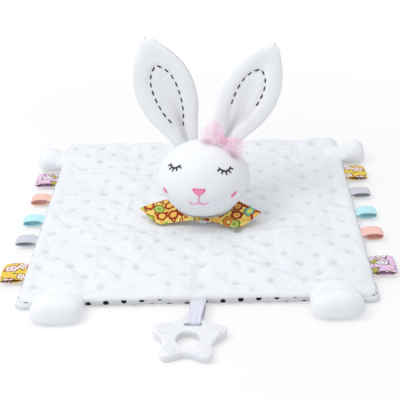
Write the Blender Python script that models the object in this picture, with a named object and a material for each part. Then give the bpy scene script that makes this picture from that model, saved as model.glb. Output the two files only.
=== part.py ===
"""Comfort blanket lovey: a padded square with a stuffed animal head, paws, ribbon tags and a teether.

Metres, +Z up. The origin is the middle of the blanket's flat underside. The front edge faces -Y, and
left and right are as seen from the front: left is -X.
"""
import math

import bmesh
import bpy
from mathutils import Matrix, Vector
from mathutils.bvhtree import BVHTree

# Shared clearance between pieces that touch
CLEARANCE = 0.0003

# Blanket
BLANKET_SIDE = 0.280
BLANKET_CROWN = 0.0105
SEAM_HEIGHT = 0.0055
TOP_CLOTH = 0.0014
BACK_CLOTH = 0.0008
CORNER_ROUND = 0.007
RIPPLE_HEIGHT = 0.0014
RIPPLE_LENGTH = 0.085
RIPPLE_SLANT = 0.35
RIPPLE_CROSS_SLANT = 0.2
RIPPLE_CROSS_SHARE = 0.8
SMALL_RIPPLE_SHARE = 0.45
SMALL_RIPPLE_LENGTH = 0.042
SMALL_RIPPLE_SLANT = -0.8
SMALL_RIPPLE_CROSS_SLANT = -0.5
CREASE_DEPTH = 0.0013
CREASE_WIDTH = 0.013
DIMPLE_DEPTH = 0.0006
DIMPLE_WIDTH = 0.0100
DIMPLE_PITCH = 0.0268
DIMPLE_ROWS = 0.0137
DIMPLE_X = -0.0617
DIMPLE_Y = -0.0815
DIMPLE_EDGE = 0.0080

# Head, its seat pressed into the blanket, and the gathered neck between them
HEAD_WIDTH = 0.081
HEAD_GIRTH = 0.0714
HEAD_X = 0.0055
HEAD_Y = -0.018
HEAD_WALL = 0.0010
HEAD_TAPER = 0.09
HEAD_TAPER_FROM = 5.0
HEAD_TAPER_SPAN = 35.0
HEAD_SWING = 15.0
STUFFING_EASE = 0.0009
SEAT_HEIGHT = 0.0083
SEAT_WIDTH = 0.0282
SEAT_LENGTH = 0.0452
SEAT_FALL = 0.0165
NECK_RADIUS = 0.0125
NECK_THICKNESS = 0.0024
NECK_EASE = 0.0009
FACE_TURN = -6.0
FACE_ROLL = 3.0

# Ears
EAR_LENGTH = 0.0915
EAR_WIDTH = 0.051
EAR_THICKNESS = 0.0105
EAR_DISH_DEPTH = 0.0034
EAR_WALL = 0.0009
EAR_KNUCKLE = 0.0036
EAR_STITCH_LENGTH = 0.0043
EAR_STITCH_GAP = 0.0028
EAR_STITCH_WIDTH = 0.0012
EAR_STITCH_HEIGHT = 0.0006
EAR_STITCH_TAPER = 0.0005
EAR_STITCH_THIN_SHARE = 0.4

# Embroidery on the face
EYE_WIDTH = 0.0114
EYE_SAG = 0.0026
LASH_LENGTH = 0.0034
THREAD_WIDTH = 0.0011
THREAD_HEIGHT = 0.0005
NOSE_WIDTH = 0.0112
NOSE_HEIGHT = 0.0062
MOUTH_WIDTH = 0.0176
MOUTH_SAG = 0.0030
PHILTRUM = 0.0082
CHEEK_LENGTH = 0.0040
CHEEK_WIDTH = 0.0018
CHEEK_LEAN = 0.6

# Bow of gathered tulle, and its tie
BOW_LENGTH = 0.042
BOW_WIDTH = 0.021
BOW_THICKNESS = 0.0100
BOW_TIE_LENGTH = 0.0042
BOW_TIE_WALL = 0.0006
BOW_STAND = 0.0034
BOW_EASE = 0.0008

# Floral collar and the thread round its middle
COLLAR_SPAN = 0.108
COLLAR_CLOTH = 0.0016
COLLAR_MIDDLE_Y = -0.0345
COLLAR_HEIGHT = 0.0117
COLLAR_SHIFT = 0.0055
COLLAR_LIFT = 0.0100
COLLAR_BACK = 0.0240
COLLAR_FRONT = 0.0080
COLLAR_EASE = 0.0023
COLLAR_TURN = -7.5
COLLAR_THREAD = 0.0007

# Paws sewn into the seam
FOOT_REACH = 0.0250
FOOT_WIDTH = 0.041
FOOT_THICKNESS = 0.0200
FOOT_OFFSET = 0.107
HAND_REACH = 0.0240
HAND_WIDTH = 0.0280
HAND_THICKNESS = 0.0190
HAND_PLACE = 0.1065
PAW_KNUCKLE = 0.0025
PAW_WALL = 0.0008
PAW_LIFT = 0.0003

# Ribbon tags sewn into the side seams
SATIN_WIDTH = 0.0125
SATIN_REACH = 0.0185
PRINT_WIDTH = 0.0235
PRINT_REACH = 0.0205
TAG_CLOTH = 0.0006
TAG_RISE = 0.0030
TAG_KNUCKLE = 0.0012
TAG_PLACES = (0.069, 0.029, -0.010, -0.0455, -0.096)

# Ribbon loop and star teether
RIBBON_CLOTH = 0.0007
RIBBON_WIDTH = 0.0120
RIBBON_SLOT_WIDTH = 0.0085
RIBBON_X = 0.0015
RIBBON_KNUCKLE = 0.0012
STAR_RADIUS = 0.0239
STAR_POINT = 0.0047
STAR_SHARPEN = 0.0007
STAR_THICKNESS = 0.0068
STAR_EDGE = 0.0022
STAR_X = -0.005
STAR_Y = -0.1855
STAR_TURN = -4.0
STAR_TILT = 2.2
STAR_HOLE = 0.0170
STAR_HOLE_SETBACK = 0.0045
STAR_SLOT_LENGTH = 0.0132
STAR_SLOT_WIDTH = 0.0030
STAR_SLOT_ADVANCE = 0.0112
STAR_SLOT_SHIFT = 0.0022
CUT_OVERRUN = 0.004

# Values worked out from the sizes above
HALF_SIDE = BLANKET_SIDE / 2
HEAD_HEIGHT = SEAT_HEIGHT + NECK_THICKNESS + 2 * CLEARANCE + HEAD_GIRTH / 2
HEAD_CENTRE = Vector((HEAD_X, HEAD_Y, HEAD_HEIGHT))
HEAD_AXES = Vector((HEAD_WIDTH / 2, HEAD_GIRTH / 2, HEAD_GIRTH / 2))
STAR_TIP = STAR_RADIUS + STAR_POINT + STAR_SHARPEN
STAR_REST = (STAR_TIP - STAR_EDGE) * math.cos(math.radians(180 / 5 + STAR_TURN))

# Colour, roughness and metallic value of each finish
FINISHES = {
    "plush": ((0.86, 0.87, 0.90), 0.95, 0.0),
    "dotted_cotton": ((0.90, 0.90, 0.92), 0.85, 0.0),
    "wadding": ((0.92, 0.92, 0.90), 1.0, 0.0),
    "velour": ((0.88, 0.88, 0.90), 0.92, 0.0),
    "black_thread": ((0.02, 0.02, 0.025), 0.6, 0.0),
    "pink_thread": ((0.92, 0.28, 0.45), 0.55, 0.0),
    "tulle": ((0.95, 0.62, 0.74), 0.8, 0.0),
    "floral_cotton": ((0.86, 0.58, 0.16), 0.85, 0.0),
    "pink_print": ((0.88, 0.60, 0.80), 0.6, 0.0),
    "yellow_print": ((0.93, 0.70, 0.12), 0.6, 0.0),
    "coral_satin": ((0.95, 0.55, 0.47), 0.4, 0.0),
    "cyan_satin": ((0.50, 0.84, 0.92), 0.4, 0.0),
    "grey_satin": ((0.62, 0.63, 0.70), 0.4, 0.0),
    "white_ribbon": ((0.84, 0.84, 0.92), 0.45, 0.0),
    "silicone": ((0.88, 0.89, 0.92), 0.5, 0.0),
}


def clear_scene():
    """Remove every object that the file opens with."""
    for item in list(bpy.data.objects):
        bpy.data.objects.remove(item, do_unlink=True)


def finish(name, kind):
    """A Principled material of a piece's own, with the named finish."""
    colour, roughness, metallic = FINISHES[kind]
    material = bpy.data.materials.new(name)
    material.use_nodes = True
    shader = material.node_tree.nodes["Principled BSDF"]
    shader.inputs["Base Color"].default_value = (*colour, 1.0)
    shader.inputs["Roughness"].default_value = roughness
    shader.inputs["Metallic"].default_value = metallic
    return material


def pivot(name, place):
    """An empty on a joint's axis, which the pieces of the moving body are parented to."""
    empty = bpy.data.objects.new(name, None)
    empty.location = place
    empty.empty_display_size = HEAD_WALL
    bpy.context.scene.collection.objects.link(empty)
    return empty


def add_piece(name, bm, kind, parent=None):
    """Turn a mesh in world places into a named object, with its origin on its parent's axis."""
    origin = parent.location if parent else Vector()
    bmesh.ops.translate(bm, verts=bm.verts, vec=-origin)
    mesh = bpy.data.meshes.new(name)
    bm.to_mesh(mesh)
    bm.free()
    mesh.shade_smooth()
    mesh.set_sharp_from_angle(angle=math.radians(40))
    mesh.materials.append(finish(name, kind))
    piece = bpy.data.objects.new(name, mesh)
    piece.parent = parent
    bpy.context.scene.collection.objects.link(piece)
    return piece


def loft(rings, turned=0):
    """One closed body through rings of points, capped at the first and the last ring.

    The quads of the first few steps, as many as turned says, are split along their other diagonal, so that
    an inner wall which runs back along the outer one is split alike.
    """
    bm = bmesh.new()
    rows = [[bm.verts.new(point) for point in ring] for ring in rings]
    count = len(rows[0])
    for step, (low, high) in enumerate(zip(rows, rows[1:])):
        for k in range(count):
            after = (k + 1) % count
            if step < turned:
                bm.faces.new((low[k], low[after], high[k]))
                bm.faces.new((low[after], high[after], high[k]))
            else:
                bm.faces.new((low[k], low[after], high[after]))
                bm.faces.new((low[k], high[after], high[k]))
    bm.faces.new(rows[0])
    bm.faces.new(rows[-1])
    return finished(bm)


def shell(inner, outer):
    """A cover with an inner and an outer wall, open at their first rings."""
    return loft(list(reversed(inner)) + outer, len(inner) - 1)


def finished(bm):
    """A mesh with every face turned outwards."""
    bmesh.ops.recalc_face_normals(bm, faces=bm.faces)
    if bm.calc_volume(signed=True) < 0:
        bmesh.ops.reverse_faces(bm, faces=bm.faces)
    return bm


def power(value, exponent):
    """A power that keeps the sign, for rounded-square sections."""
    return math.copysign(abs(value) ** exponent, value)


def read_table(table, place):
    """Values of a table of shares at a place between its rows."""
    for low, high in zip(table, table[1:]):
        if place <= high[0]:
            part = max(0.0, (place - low[0]) / (high[0] - low[0]))
            return [a + (b - a) * part for a, b in zip(low[1:], high[1:])]
    return list(table[-1][1:])


def smooth(share):
    """Ease from 0 to 1."""
    share = min(1.0, max(0.0, share))
    return share * share * (3 - 2 * share)


# Blanket: the layers share one grid, so that they stay parallel
TOP_EDGE_SHARES = ((0.0, 0.16), (0.14, 0.44), (0.45, 0.80), (1.0, 1.0))
BACK_EDGE_SHARES = ((0.0, 0.72, 1.0), (0.14, 0.22, 0.86), (0.30, 0.05, 0.30), (0.45, 0.0, 0.15),
                    (1.0, 0.0, 0.15))
EDGE_STATION_SHARES = (0.0, 0.14, 0.45, 1.0)
BACK_STATION_SHARES = (0.0, 0.14, 0.30, 0.45, 1.0)
FIELD_CELLS = 8

# Folds pressed into the blanket: start and end, as shares of half its side
CREASES = ((0.23, -0.42, 0.53, -0.74), (0.53, -0.74, 0.74, -0.85), (0.25, -0.575, 0.585, -0.81),
           (-0.85, -0.88, -0.51, -0.895), (0.014, -0.37, 0.014, -0.985), (-0.66, -0.08, -0.37, -0.19),
           (0.44, -0.27, 0.63, -0.23))


def rounded_corner(x, y):
    """Move a grid point of the square so that the square's corners are quarter discs."""
    core = HALF_SIDE - CORNER_ROUND
    over = Vector((max(0.0, abs(x) - core), max(0.0, abs(y) - core)))
    if min(over) > 0:
        over *= max(over) / over.length
        x = math.copysign(core + over.x, x)
        y = math.copysign(core + over.y, y)
    return x, y


def edge_share(x, y):
    """How far a place lies in from the edge, as a share of the edge's rounding."""
    core = HALF_SIDE - CORNER_ROUND
    over = Vector((max(0.0, abs(x) - core), max(0.0, abs(y) - core)))
    return max(0.0, 1.0 - over.length / CORNER_ROUND)


def crease_sink(x, y):
    """How far the folds pressed into the blanket sink its top."""
    sunk = 0.0
    for start_x, start_y, end_x, end_y in CREASES:
        start = Vector((start_x, start_y)) * HALF_SIDE
        along = Vector((end_x, end_y)) * HALF_SIDE - start
        away = Vector((x, y)) - start
        part = min(1.0, max(0.0, away.dot(along) / along.length_squared))
        sunk = max(sunk, smooth(1 - (away - along * part).length / CREASE_WIDTH))
    return CREASE_DEPTH * sunk


def dimple_sink(x, y):
    """How far the nearest of the staggered dimples sinks the top."""
    row = round((y - DIMPLE_Y) / DIMPLE_ROWS)
    shift = (row % 2) / 2
    column = round((x - DIMPLE_X) / DIMPLE_PITCH - shift)
    away = math.hypot(x - DIMPLE_X - (column + shift) * DIMPLE_PITCH, y - DIMPLE_Y - row * DIMPLE_ROWS)
    inside = HALF_SIDE - max(abs(x), abs(y))
    return DIMPLE_DEPTH * smooth(1 - 2 * away / DIMPLE_WIDTH) * smooth(inside / DIMPLE_EDGE)


def field_height(x, y):
    """The blanket's top surface away from its edge: soft ripples, dimples, folds and the head's seat."""
    wave = 2 * math.pi / RIPPLE_LENGTH
    ripple = math.sin(wave * (x + RIPPLE_SLANT * y))
    ripple *= math.cos(wave * RIPPLE_CROSS_SHARE * (y - RIPPLE_CROSS_SLANT * x))
    wave = 2 * math.pi / SMALL_RIPPLE_LENGTH
    small = math.sin(wave * (x + SMALL_RIPPLE_SLANT * y))
    small *= math.sin(wave * (y - SMALL_RIPPLE_CROSS_SLANT * x))
    ripple += (small - ripple) * SMALL_RIPPLE_SHARE
    crown = BLANKET_CROWN + RIPPLE_HEIGHT * (ripple - 1) / 2 - crease_sink(x, y) - dimple_sink(x, y)
    from_seat = max(abs(x - HEAD_X) - SEAT_WIDTH / 2, abs(y - HEAD_Y) - SEAT_LENGTH / 2)
    return SEAT_HEIGHT + (crown - SEAT_HEIGHT) * smooth(from_seat / SEAT_FALL)


def top_height(x, y):
    """The blanket's upper surface, which falls to the seam at the edge."""
    rise = read_table(TOP_EDGE_SHARES, edge_share(x, y))[0]
    return SEAM_HEIGHT + (field_height(x, y) - SEAM_HEIGHT) * rise


def top_underside(x, y):
    """The inner face of the top cloth: level but for its edge, and never lower than the seam."""
    rise = read_table(TOP_EDGE_SHARES, edge_share(x, y))[0]
    plain = SEAM_HEIGHT + (BLANKET_CROWN - SEAM_HEIGHT) * rise
    return max(SEAM_HEIGHT + CLEARANCE / 2, min(SEAT_HEIGHT, plain) - TOP_CLOTH)


def back_outside(x, y):
    """The outer face of the back cloth, flat but for its rolled edge."""
    return read_table(BACK_EDGE_SHARES, edge_share(x, y))[0] * (SEAM_HEIGHT - CLEARANCE / 2)


def back_inside(x, y):
    """The inner face of the back cloth."""
    low, high = read_table(BACK_EDGE_SHARES, edge_share(x, y))
    return max(back_outside(x, y) + BACK_CLOTH, high * (SEAM_HEIGHT - CLEARANCE / 2)) if high < 1 else (
        SEAM_HEIGHT - CLEARANCE / 2)


def stations(edge_shares, inner):
    """Grid lines from edge to edge: the given lines within the rounded edges' own ones."""
    edge = [HALF_SIDE - share * CORNER_ROUND for share in edge_shares]
    return [-line for line in edge] + inner + list(reversed(edge))


def dimple_lines(start, step):
    """Grid lines through the dimples' rows or columns, clear of the rounded edges."""
    core = HALF_SIDE - CORNER_ROUND - step / 4
    first = math.ceil((-core - start) / step)
    last = math.floor((core - start) / step)
    return [start + step * k for k in range(first, last + 1)]


def quilt_layer(lines_x, lines_y, low, high, thin=False):
    """A closed cloth layer between two height functions, over one grid.

    A thin grid keeps only every other inner line of the level underside, and none in the head's seat.
    """
    bm = bmesh.new()
    columns = len(lines_x) - 1
    rows = len(lines_y) - 1
    bmesh.ops.create_grid(bm, x_segments=columns, y_segments=rows, size=1.0)
    place = [bm.verts.layers.int.new(axis) for axis in ("column", "row")]
    for vert in bm.verts:
        vert[place[0]] = round((vert.co.x + 1) / 2 * columns)
        vert[place[1]] = round((vert.co.y + 1) / 2 * rows)
        x, y = rounded_corner(lines_x[vert[place[0]]], lines_y[vert[place[1]]])
        vert.co = (x, y, high(x, y))
    lower = bmesh.ops.extrude_face_region(bm, geom=list(bm.faces), use_keep_orig=True)["geom"]
    lower = {item for item in lower if isinstance(item, bmesh.types.BMVert)}
    for vert in lower:
        vert.co.z = low(vert.co.x, vert.co.y)
    if thin:
        edge = len(EDGE_STATION_SHARES) - 1
        spare = set()
        for axis, last in zip(place, (columns, rows)):
            for line in range(edge + 1, last - edge, 2):
                spare |= {item for item in bm.edges
                          if all(vert in lower and vert[axis] == line for vert in item.verts)}
        bmesh.ops.dissolve_edges(bm, edges=list(spare), use_verts=True)
        seat = [vert for vert in bm.verts if vert.co.z > SEAT_HEIGHT - CLEARANCE
                and abs(vert.co.x - HEAD_X) < SEAT_WIDTH / 4 and abs(vert.co.y - HEAD_Y) < SEAT_LENGTH / 3]
        bmesh.ops.dissolve_verts(bm, verts=seat)
    bmesh.ops.recalc_face_normals(bm, faces=bm.faces)
    return bm


def build_blanket():
    """Top cloth, back cloth and the wadding between them."""
    lines_x = stations(EDGE_STATION_SHARES, dimple_lines(DIMPLE_X, DIMPLE_PITCH / 2))
    lines_y = stations(EDGE_STATION_SHARES, dimple_lines(DIMPLE_Y, DIMPLE_ROWS))
    add_piece("blanket_top", quilt_layer(lines_x, lines_y, top_underside, top_height, True), "plush")
    core = HALF_SIDE - CORNER_ROUND
    inner = [core * (2 * k / FIELD_CELLS - 1) for k in range(1, FIELD_CELLS)]
    lines = stations(BACK_STATION_SHARES, inner)
    add_piece("blanket_back", quilt_layer(lines, lines, back_outside, back_inside), "dotted_cotton")

    def wadding_top(x, y):
        return top_underside(x, y) - CLEARANCE

    def wadding_base(x, y):
        return back_inside(x, y) + CLEARANCE

    lines = [-core] + inner + [core]
    add_piece("blanket_wadding", quilt_layer(lines, lines, wadding_base, wadding_top), "wadding")


# Head
HEAD_RING_ANGLES = (-74, -60, -44, -28, -13, 0, 13, 27, 44, 60, 74, 85)
HEAD_SIDES = 24


def head_taper(angle):
    """The head's size as a share of its ellipsoid's, at an angle above its middle: it narrows below."""
    return 1 - HEAD_TAPER * smooth((HEAD_TAPER_FROM - angle) / HEAD_TAPER_SPAN)


def head_ring(angle, inset, swing=0.0):
    """A level ring of the head, drawn in by a wall, and tapered as if it were lower by a swing's angle."""
    size = HEAD_AXES * head_taper(angle - swing) - Vector((inset, inset, inset))
    level = math.radians(angle)
    ring = []
    for k in range(HEAD_SIDES):
        turn = 2 * math.pi * k / HEAD_SIDES
        unit = Vector((math.cos(level) * math.cos(turn), math.cos(level) * math.sin(turn), math.sin(level)))
        ring.append(HEAD_CENTRE + unit * size)
    return ring


def on_head(across, up, lift):
    """A place on the face: angles across and up from the nose's meridian, and a height above the cloth."""
    side = math.radians(across)
    level = math.radians(up)
    unit = Vector((math.sin(side) * math.cos(level), -math.cos(side) * math.cos(level), math.sin(level)))
    unit.rotate(Matrix.Rotation(math.radians(FACE_ROLL), 3, "Y"))
    unit.rotate(Matrix.Rotation(math.radians(FACE_TURN), 3, "Z"))
    normal = Vector((unit.x / HEAD_AXES.x, unit.y / HEAD_AXES.y, unit.z / HEAD_AXES.z)).normalized()
    taper = head_taper(math.degrees(math.asin(unit.z)))
    return HEAD_CENTRE + unit * HEAD_AXES * taper + normal * lift, normal


def clear_of_head(point, gap):
    """Move a point out of the space that the nodding head sweeps, grown by a gap."""
    away = point - HEAD_CENTRE
    angle = math.degrees(math.asin(away.z / away.length))
    size = HEAD_AXES * head_taper(angle + HEAD_SWING) + Vector((gap, gap, gap))
    reach = math.sqrt(sum((away[k] / size[k]) ** 2 for k in range(3)))
    return point if reach >= 1 else HEAD_CENTRE + away / reach


def head_underside(radius):
    """Height of the head's lower surface over a circle round its middle, where it is lowest."""
    narrow = HEAD_AXES * (1 - HEAD_TAPER)
    return HEAD_HEIGHT - narrow.z * math.sqrt(1 - (radius / narrow.y) ** 2)


def crown_place(out, back, lift):
    """A place on the upper head: angles out to the side and back from straight up, and a height above it."""
    out = math.radians(out)
    back = math.radians(back)
    unit = Vector((math.sin(out), math.cos(out) * math.sin(back), math.cos(out) * math.cos(back)))
    normal = Vector((unit.x / HEAD_AXES.x, unit.y / HEAD_AXES.y, unit.z / HEAD_AXES.z)).normalized()
    return HEAD_CENTRE + unit * HEAD_AXES + normal * lift


NECK_RING_SHARES = ((1.0, 1.0), (0.72, 0.5), (0.40, 0.15), (0.10, 0.0))


def build_neck(parent):
    """Gathered disc between the blanket's top and the head, hollowed to the head's curve."""
    base = SEAT_HEIGHT + CLEARANCE

    def ring(radius, height):
        turns = [2 * math.pi * k / HEAD_SIDES for k in range(HEAD_SIDES)]
        return [Vector((HEAD_X + radius * math.cos(t), HEAD_Y + radius * math.sin(t), height)) for t in turns]

    rings = [ring(NECK_RADIUS, base)]
    for share, ease in NECK_RING_SHARES:
        radius = NECK_RADIUS * share
        rings.append(ring(radius, head_underside(radius) - CLEARANCE - NECK_EASE * ease))
    add_piece("neck_gather", loft(rings), "velour", parent)


def build_head(parent, core_parent):
    """Velour cover, open at the neck, and the stuffing inside it."""
    inner = [head_ring(angle, HEAD_WALL) for angle in HEAD_RING_ANGLES]
    outer = [head_ring(angle, 0.0) for angle in HEAD_RING_ANGLES]
    add_piece("head_cover", shell(inner, outer), "velour", parent)
    stuffing = [head_ring(angle, HEAD_WALL + STUFFING_EASE, HEAD_SWING) for angle in HEAD_RING_ANGLES]
    add_piece("head_stuffing", loft(stuffing), "wadding", core_parent)


# Ears: base angles on the head, then how far the ear leans out and back
EARS = {
    "left_ear": {"out": -21.3, "back": 28.2, "lean_out": -19.2, "lean_back": 13.7, "face": -4.0},
    "right_ear": {"out": 26.5, "back": 29.1, "lean_out": 28.5, "lean_back": 14.9, "face": 4.0},
}
EAR_OUTLINE_SHARES = ((0.0, 0.50), (0.13, 0.68), (0.26, 0.88), (0.40, 0.99), (0.52, 1.0), (0.66, 0.90),
                      (0.80, 0.66), (0.92, 0.36), (1.0, 0.10))
EAR_BODY_SHARES = ((0.0, 0.72), (0.13, 0.85), (0.26, 1.0), (0.40, 1.0), (0.66, 1.0), (0.80, 0.92),
                   (0.92, 0.70), (1.0, 0.34))
EAR_DISH_SHARES = ((0.0, 0.30), (0.13, 0.75), (0.30, 1.0), (0.60, 1.0), (0.78, 0.55), (0.90, 0.0), (1.0, 0.0))
EAR_STITCH_SHARES = ((0.10, 0.10), (0.20, 0.26), (0.30, 0.37), (0.42, 0.43), (0.52, 0.43), (0.60, 0.37),
                     (0.67, 0.24), (0.72, 0.04))
EAR_RING_SHARES = (0.0, 0.10, 0.24, 0.40, 0.55, 0.70, 0.83, 0.93, 1.0)
EAR_ROOT_SHARES = ((0.93, 0.38), (0.60, 0.78))
EAR_SIDES = 18
EAR_SIDE_POWER = 0.85
EAR_BODY_POWER = 0.62
EAR_DISH_SPREAD = 0.52
EAR_BACK_DISH_SHARE = 0.25


def ear_frame(ear):
    """Root place on the head, then the ear's own across, along and front directions."""
    root = crown_place(ear["out"], ear["back"], EAR_KNUCKLE + CLEARANCE)
    lean_out = math.radians(ear["lean_out"])
    lean_back = math.radians(ear["lean_back"])
    along = Vector((math.sin(lean_out), math.cos(lean_out) * math.sin(lean_back),
                    math.cos(lean_out) * math.cos(lean_back)))
    across = Vector((math.cos(lean_out), 0.0, -math.sin(lean_out)))
    across.rotate(Matrix.Rotation(math.radians(ear["face"]), 3, along))
    return root, across, along, along.cross(across)


def ear_ring(frame, share, inset, root_share=1.0):
    """A section of the ear: thick rolled sides, and a thin sewn dish in front."""
    root, across, along, back = frame
    half_width = EAR_WIDTH / 2 * read_table(EAR_OUTLINE_SHARES, share)[0] - inset
    body = EAR_THICKNESS / 2 * read_table(EAR_BODY_SHARES, share)[0] * root_share - inset
    dish = EAR_DISH_DEPTH * read_table(EAR_DISH_SHARES, share)[0]
    middle = root + along * (share * EAR_LENGTH)
    ring = []
    for k in range(EAR_SIDES):
        turn = 2 * math.pi * (k + 0.5) / EAR_SIDES
        place = power(math.cos(turn), EAR_SIDE_POWER)
        height = body * power(math.sin(turn), EAR_BODY_POWER)
        sunk = dish * math.exp(-(place / EAR_DISH_SPREAD) ** 2)
        if height > 0:
            sunk = -EAR_BACK_DISH_SHARE * dish * (1 - place * place)
        ring.append(middle + across * (half_width * place) + back * (height + sunk))
    return ring


def ear_rings(frame, inset):
    """Sections from the ear's root, a knuckle on the hinge axis, to its tip."""
    root, across, along, back = frame
    rings = []
    for drop, thickness in EAR_ROOT_SHARES:
        ring = ear_ring(frame, 0.0, inset, thickness)
        rings.append([point - along * (drop * EAR_KNUCKLE) for point in ring])
    return rings + [ear_ring(frame, share, inset) for share in EAR_RING_SHARES]


def build_ear(name, parent, frame):
    """Ear cover open at its root, its wadding, and the running stitch round the dish."""
    outer = ear_rings(frame, 0.0)
    inner = ear_rings(frame, EAR_WALL)
    cover = shell(inner, outer)
    tree = BVHTree.FromBMesh(cover)
    add_piece(name + "_cover", cover, "velour", parent)
    wadding = ear_rings(frame, EAR_WALL + CLEARANCE)[len(EAR_ROOT_SHARES):]
    add_piece(name + "_wadding", loft(wadding), "wadding", parent)
    add_piece(name + "_stitches", running_stitch(frame, tree), "black_thread", parent)


def stitch_line(frame):
    """Points of the stitch's leaf outline in front of the ear, up one side and down the other."""
    root, across, along, back = frame
    sides = []
    for side in (-1, 1):
        line = [root + along * (share * EAR_LENGTH) + across * (side * width * EAR_WIDTH / 2)
                for share, width in EAR_STITCH_SHARES]
        sides.append(line)
    return sides[0] + list(reversed(sides[1]))


def stitch_stations(line):
    """Places and headings along the line where a stitch starts or ends, each with its thickness share."""
    stops = []
    travelled = 0.0
    while travelled < sum((b - a).length for a, b in zip(line, line[1:])) - EAR_STITCH_LENGTH:
        for offset, share in ((0.0, 0.0), (EAR_STITCH_TAPER, 1.0),
                              (EAR_STITCH_LENGTH - EAR_STITCH_TAPER, 1.0), (EAR_STITCH_LENGTH, 0.0)):
            stops.append((travelled + offset, share))
        travelled += EAR_STITCH_LENGTH + EAR_STITCH_GAP
    stations = []
    for stop, share in stops:
        for start, end in zip(line, line[1:]):
            length = (end - start).length
            if stop <= length:
                break
            stop -= length
        stations.append((start.lerp(end, min(1.0, stop / length)), (end - start) / length, share))
    return stations


def running_stitch(frame, tree):
    """Thread laid on the ear's front along the stitch line, thick in each stitch and thin between them."""
    back = frame[3]
    rings = []
    for place, heading, share in stitch_stations(stitch_line(frame)):
        hit, normal, index, distance = tree.ray_cast(place - back * EAR_WIDTH, back)
        sideways = normal.cross(heading).normalized()
        half = EAR_STITCH_WIDTH / 2 * (EAR_STITCH_THIN_SHARE + (1 - EAR_STITCH_THIN_SHARE) * share)
        high = EAR_STITCH_HEIGHT * (EAR_STITCH_THIN_SHARE + (1 - EAR_STITCH_THIN_SHARE) * share)
        foot = hit - back * CLEARANCE
        rings.append([foot + sideways * half, foot + sideways * half + normal * high,
                      foot - sideways * half + normal * high, foot - sideways * half])
    return loft(rings)


# Face
EYE_LEFT_ANGLES = (-44.5, 37.0)
EYE_RIGHT_ANGLES = (40.0, 38.0)
EYE_LEFT_ROLL = 12.0
EYE_RIGHT_ROLL = -7.0
NOSE_ANGLES = (0.5, 15.0)
CHEEK_LEFT_ANGLES = (-47.5, 0.0)
CHEEK_RIGHT_ANGLES = (45.5, 1.0)
EYE_STATION_SHARES = (-1.0, -0.86, -0.57, -0.43, -0.07, 0.07, 0.43, 0.57, 0.86, 1.0)
LASH_SHARES = ((-0.85, 0.30), (-0.45, 0.85), (0.0, 1.0), (0.45, 0.85), (0.85, 0.30))
NOSE_ROW_SHARES = (0.86, 1.0, 0.80, 0.50, 0.14)
MOUTH_STATION_SHARES = (-1.0, -0.82, -0.6, -0.4, -0.2, -0.05, 0.05, 0.2, 0.4, 0.6, 0.82, 1.0)
MOUTH_STEM_STATION = 5
CHEEK_SHARES = (0.5, 1.0, 1.0, 0.5)
NOSE_COLUMNS = 4
STEM_STEPS = 4


def face_place(centre, across, up, lift):
    """A place on the head, given by lengths across and up from a named centre."""
    side = centre[0] + math.degrees(across / (HEAD_AXES.x * math.cos(math.radians(centre[1]))))
    return on_head(side, centre[1] + math.degrees(up / HEAD_AXES.z), lift)[0]


def stitch_band(bm, line, width):
    """A flat band that follows a line from left to right; gives its upper and lower edges."""
    pairs = []
    for k, (across, up) in enumerate(line):
        along = Vector(line[min(len(line) - 1, k + 1)]) - Vector(line[max(0, k - 1)])
        sideways = Vector((-along.y, along.x, 0.0)).normalized() * (width / 2)
        middle = Vector((across, up, 0.0))
        pairs.append((bm.verts.new(middle + sideways), bm.verts.new(middle - sideways)))
    for (above, below), (next_above, next_below) in zip(pairs, pairs[1:]):
        bm.faces.new((above, below, next_below, next_above))
    upper = [bm.edges.get((a[0], b[0])) for a, b in zip(pairs, pairs[1:])]
    lower = [bm.edges.get((a[1], b[1])) for a, b in zip(pairs, pairs[1:])]
    return upper, lower


def sprout(bm, edge, heading, length, steps):
    """Run a thread straight out of one edge of a band."""
    for step in range(steps):
        grown = bmesh.ops.extrude_edge_only(bm, edges=[edge])["geom"]
        edge = [item for item in grown if isinstance(item, bmesh.types.BMEdge) and item.is_boundary
                and all(vert in grown for vert in item.verts)][0]
        bmesh.ops.translate(bm, verts=edge.verts, vec=heading * (length / steps))


def seat_on_head(bm, centre):
    """Give a flat piece of embroidery its height and lay it on the head."""
    raised = bmesh.ops.extrude_face_region(bm, geom=list(bm.faces), use_keep_orig=True)
    high = {item for item in raised["geom"] if isinstance(item, bmesh.types.BMVert)}
    for vert in bm.verts:
        lift = CLEARANCE + (THREAD_HEIGHT if vert in high else 0.0)
        vert.co = face_place(centre, vert.co.x, vert.co.y, lift)
    return finished(bm)


def build_eye(name, centre, roll, parent):
    """A closed eye: a hanging arc with five lashes growing from its lower edge, rolled as on the face."""
    bm = bmesh.new()
    arc = [(EYE_WIDTH / 2 * share, EYE_SAG * (share * share - 0.5)) for share in EYE_STATION_SHARES]
    lower = stitch_band(bm, arc, THREAD_WIDTH)[1]
    for edge, (lean, drop) in zip(lower[::2], LASH_SHARES):
        sprout(bm, edge, Vector((lean, -drop, 0.0)).normalized(), LASH_LENGTH, 1)
    bmesh.ops.rotate(bm, verts=bm.verts, matrix=Matrix.Rotation(math.radians(roll), 3, "Z"))
    add_piece(name, seat_on_head(bm, centre), "black_thread", parent)


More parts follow.
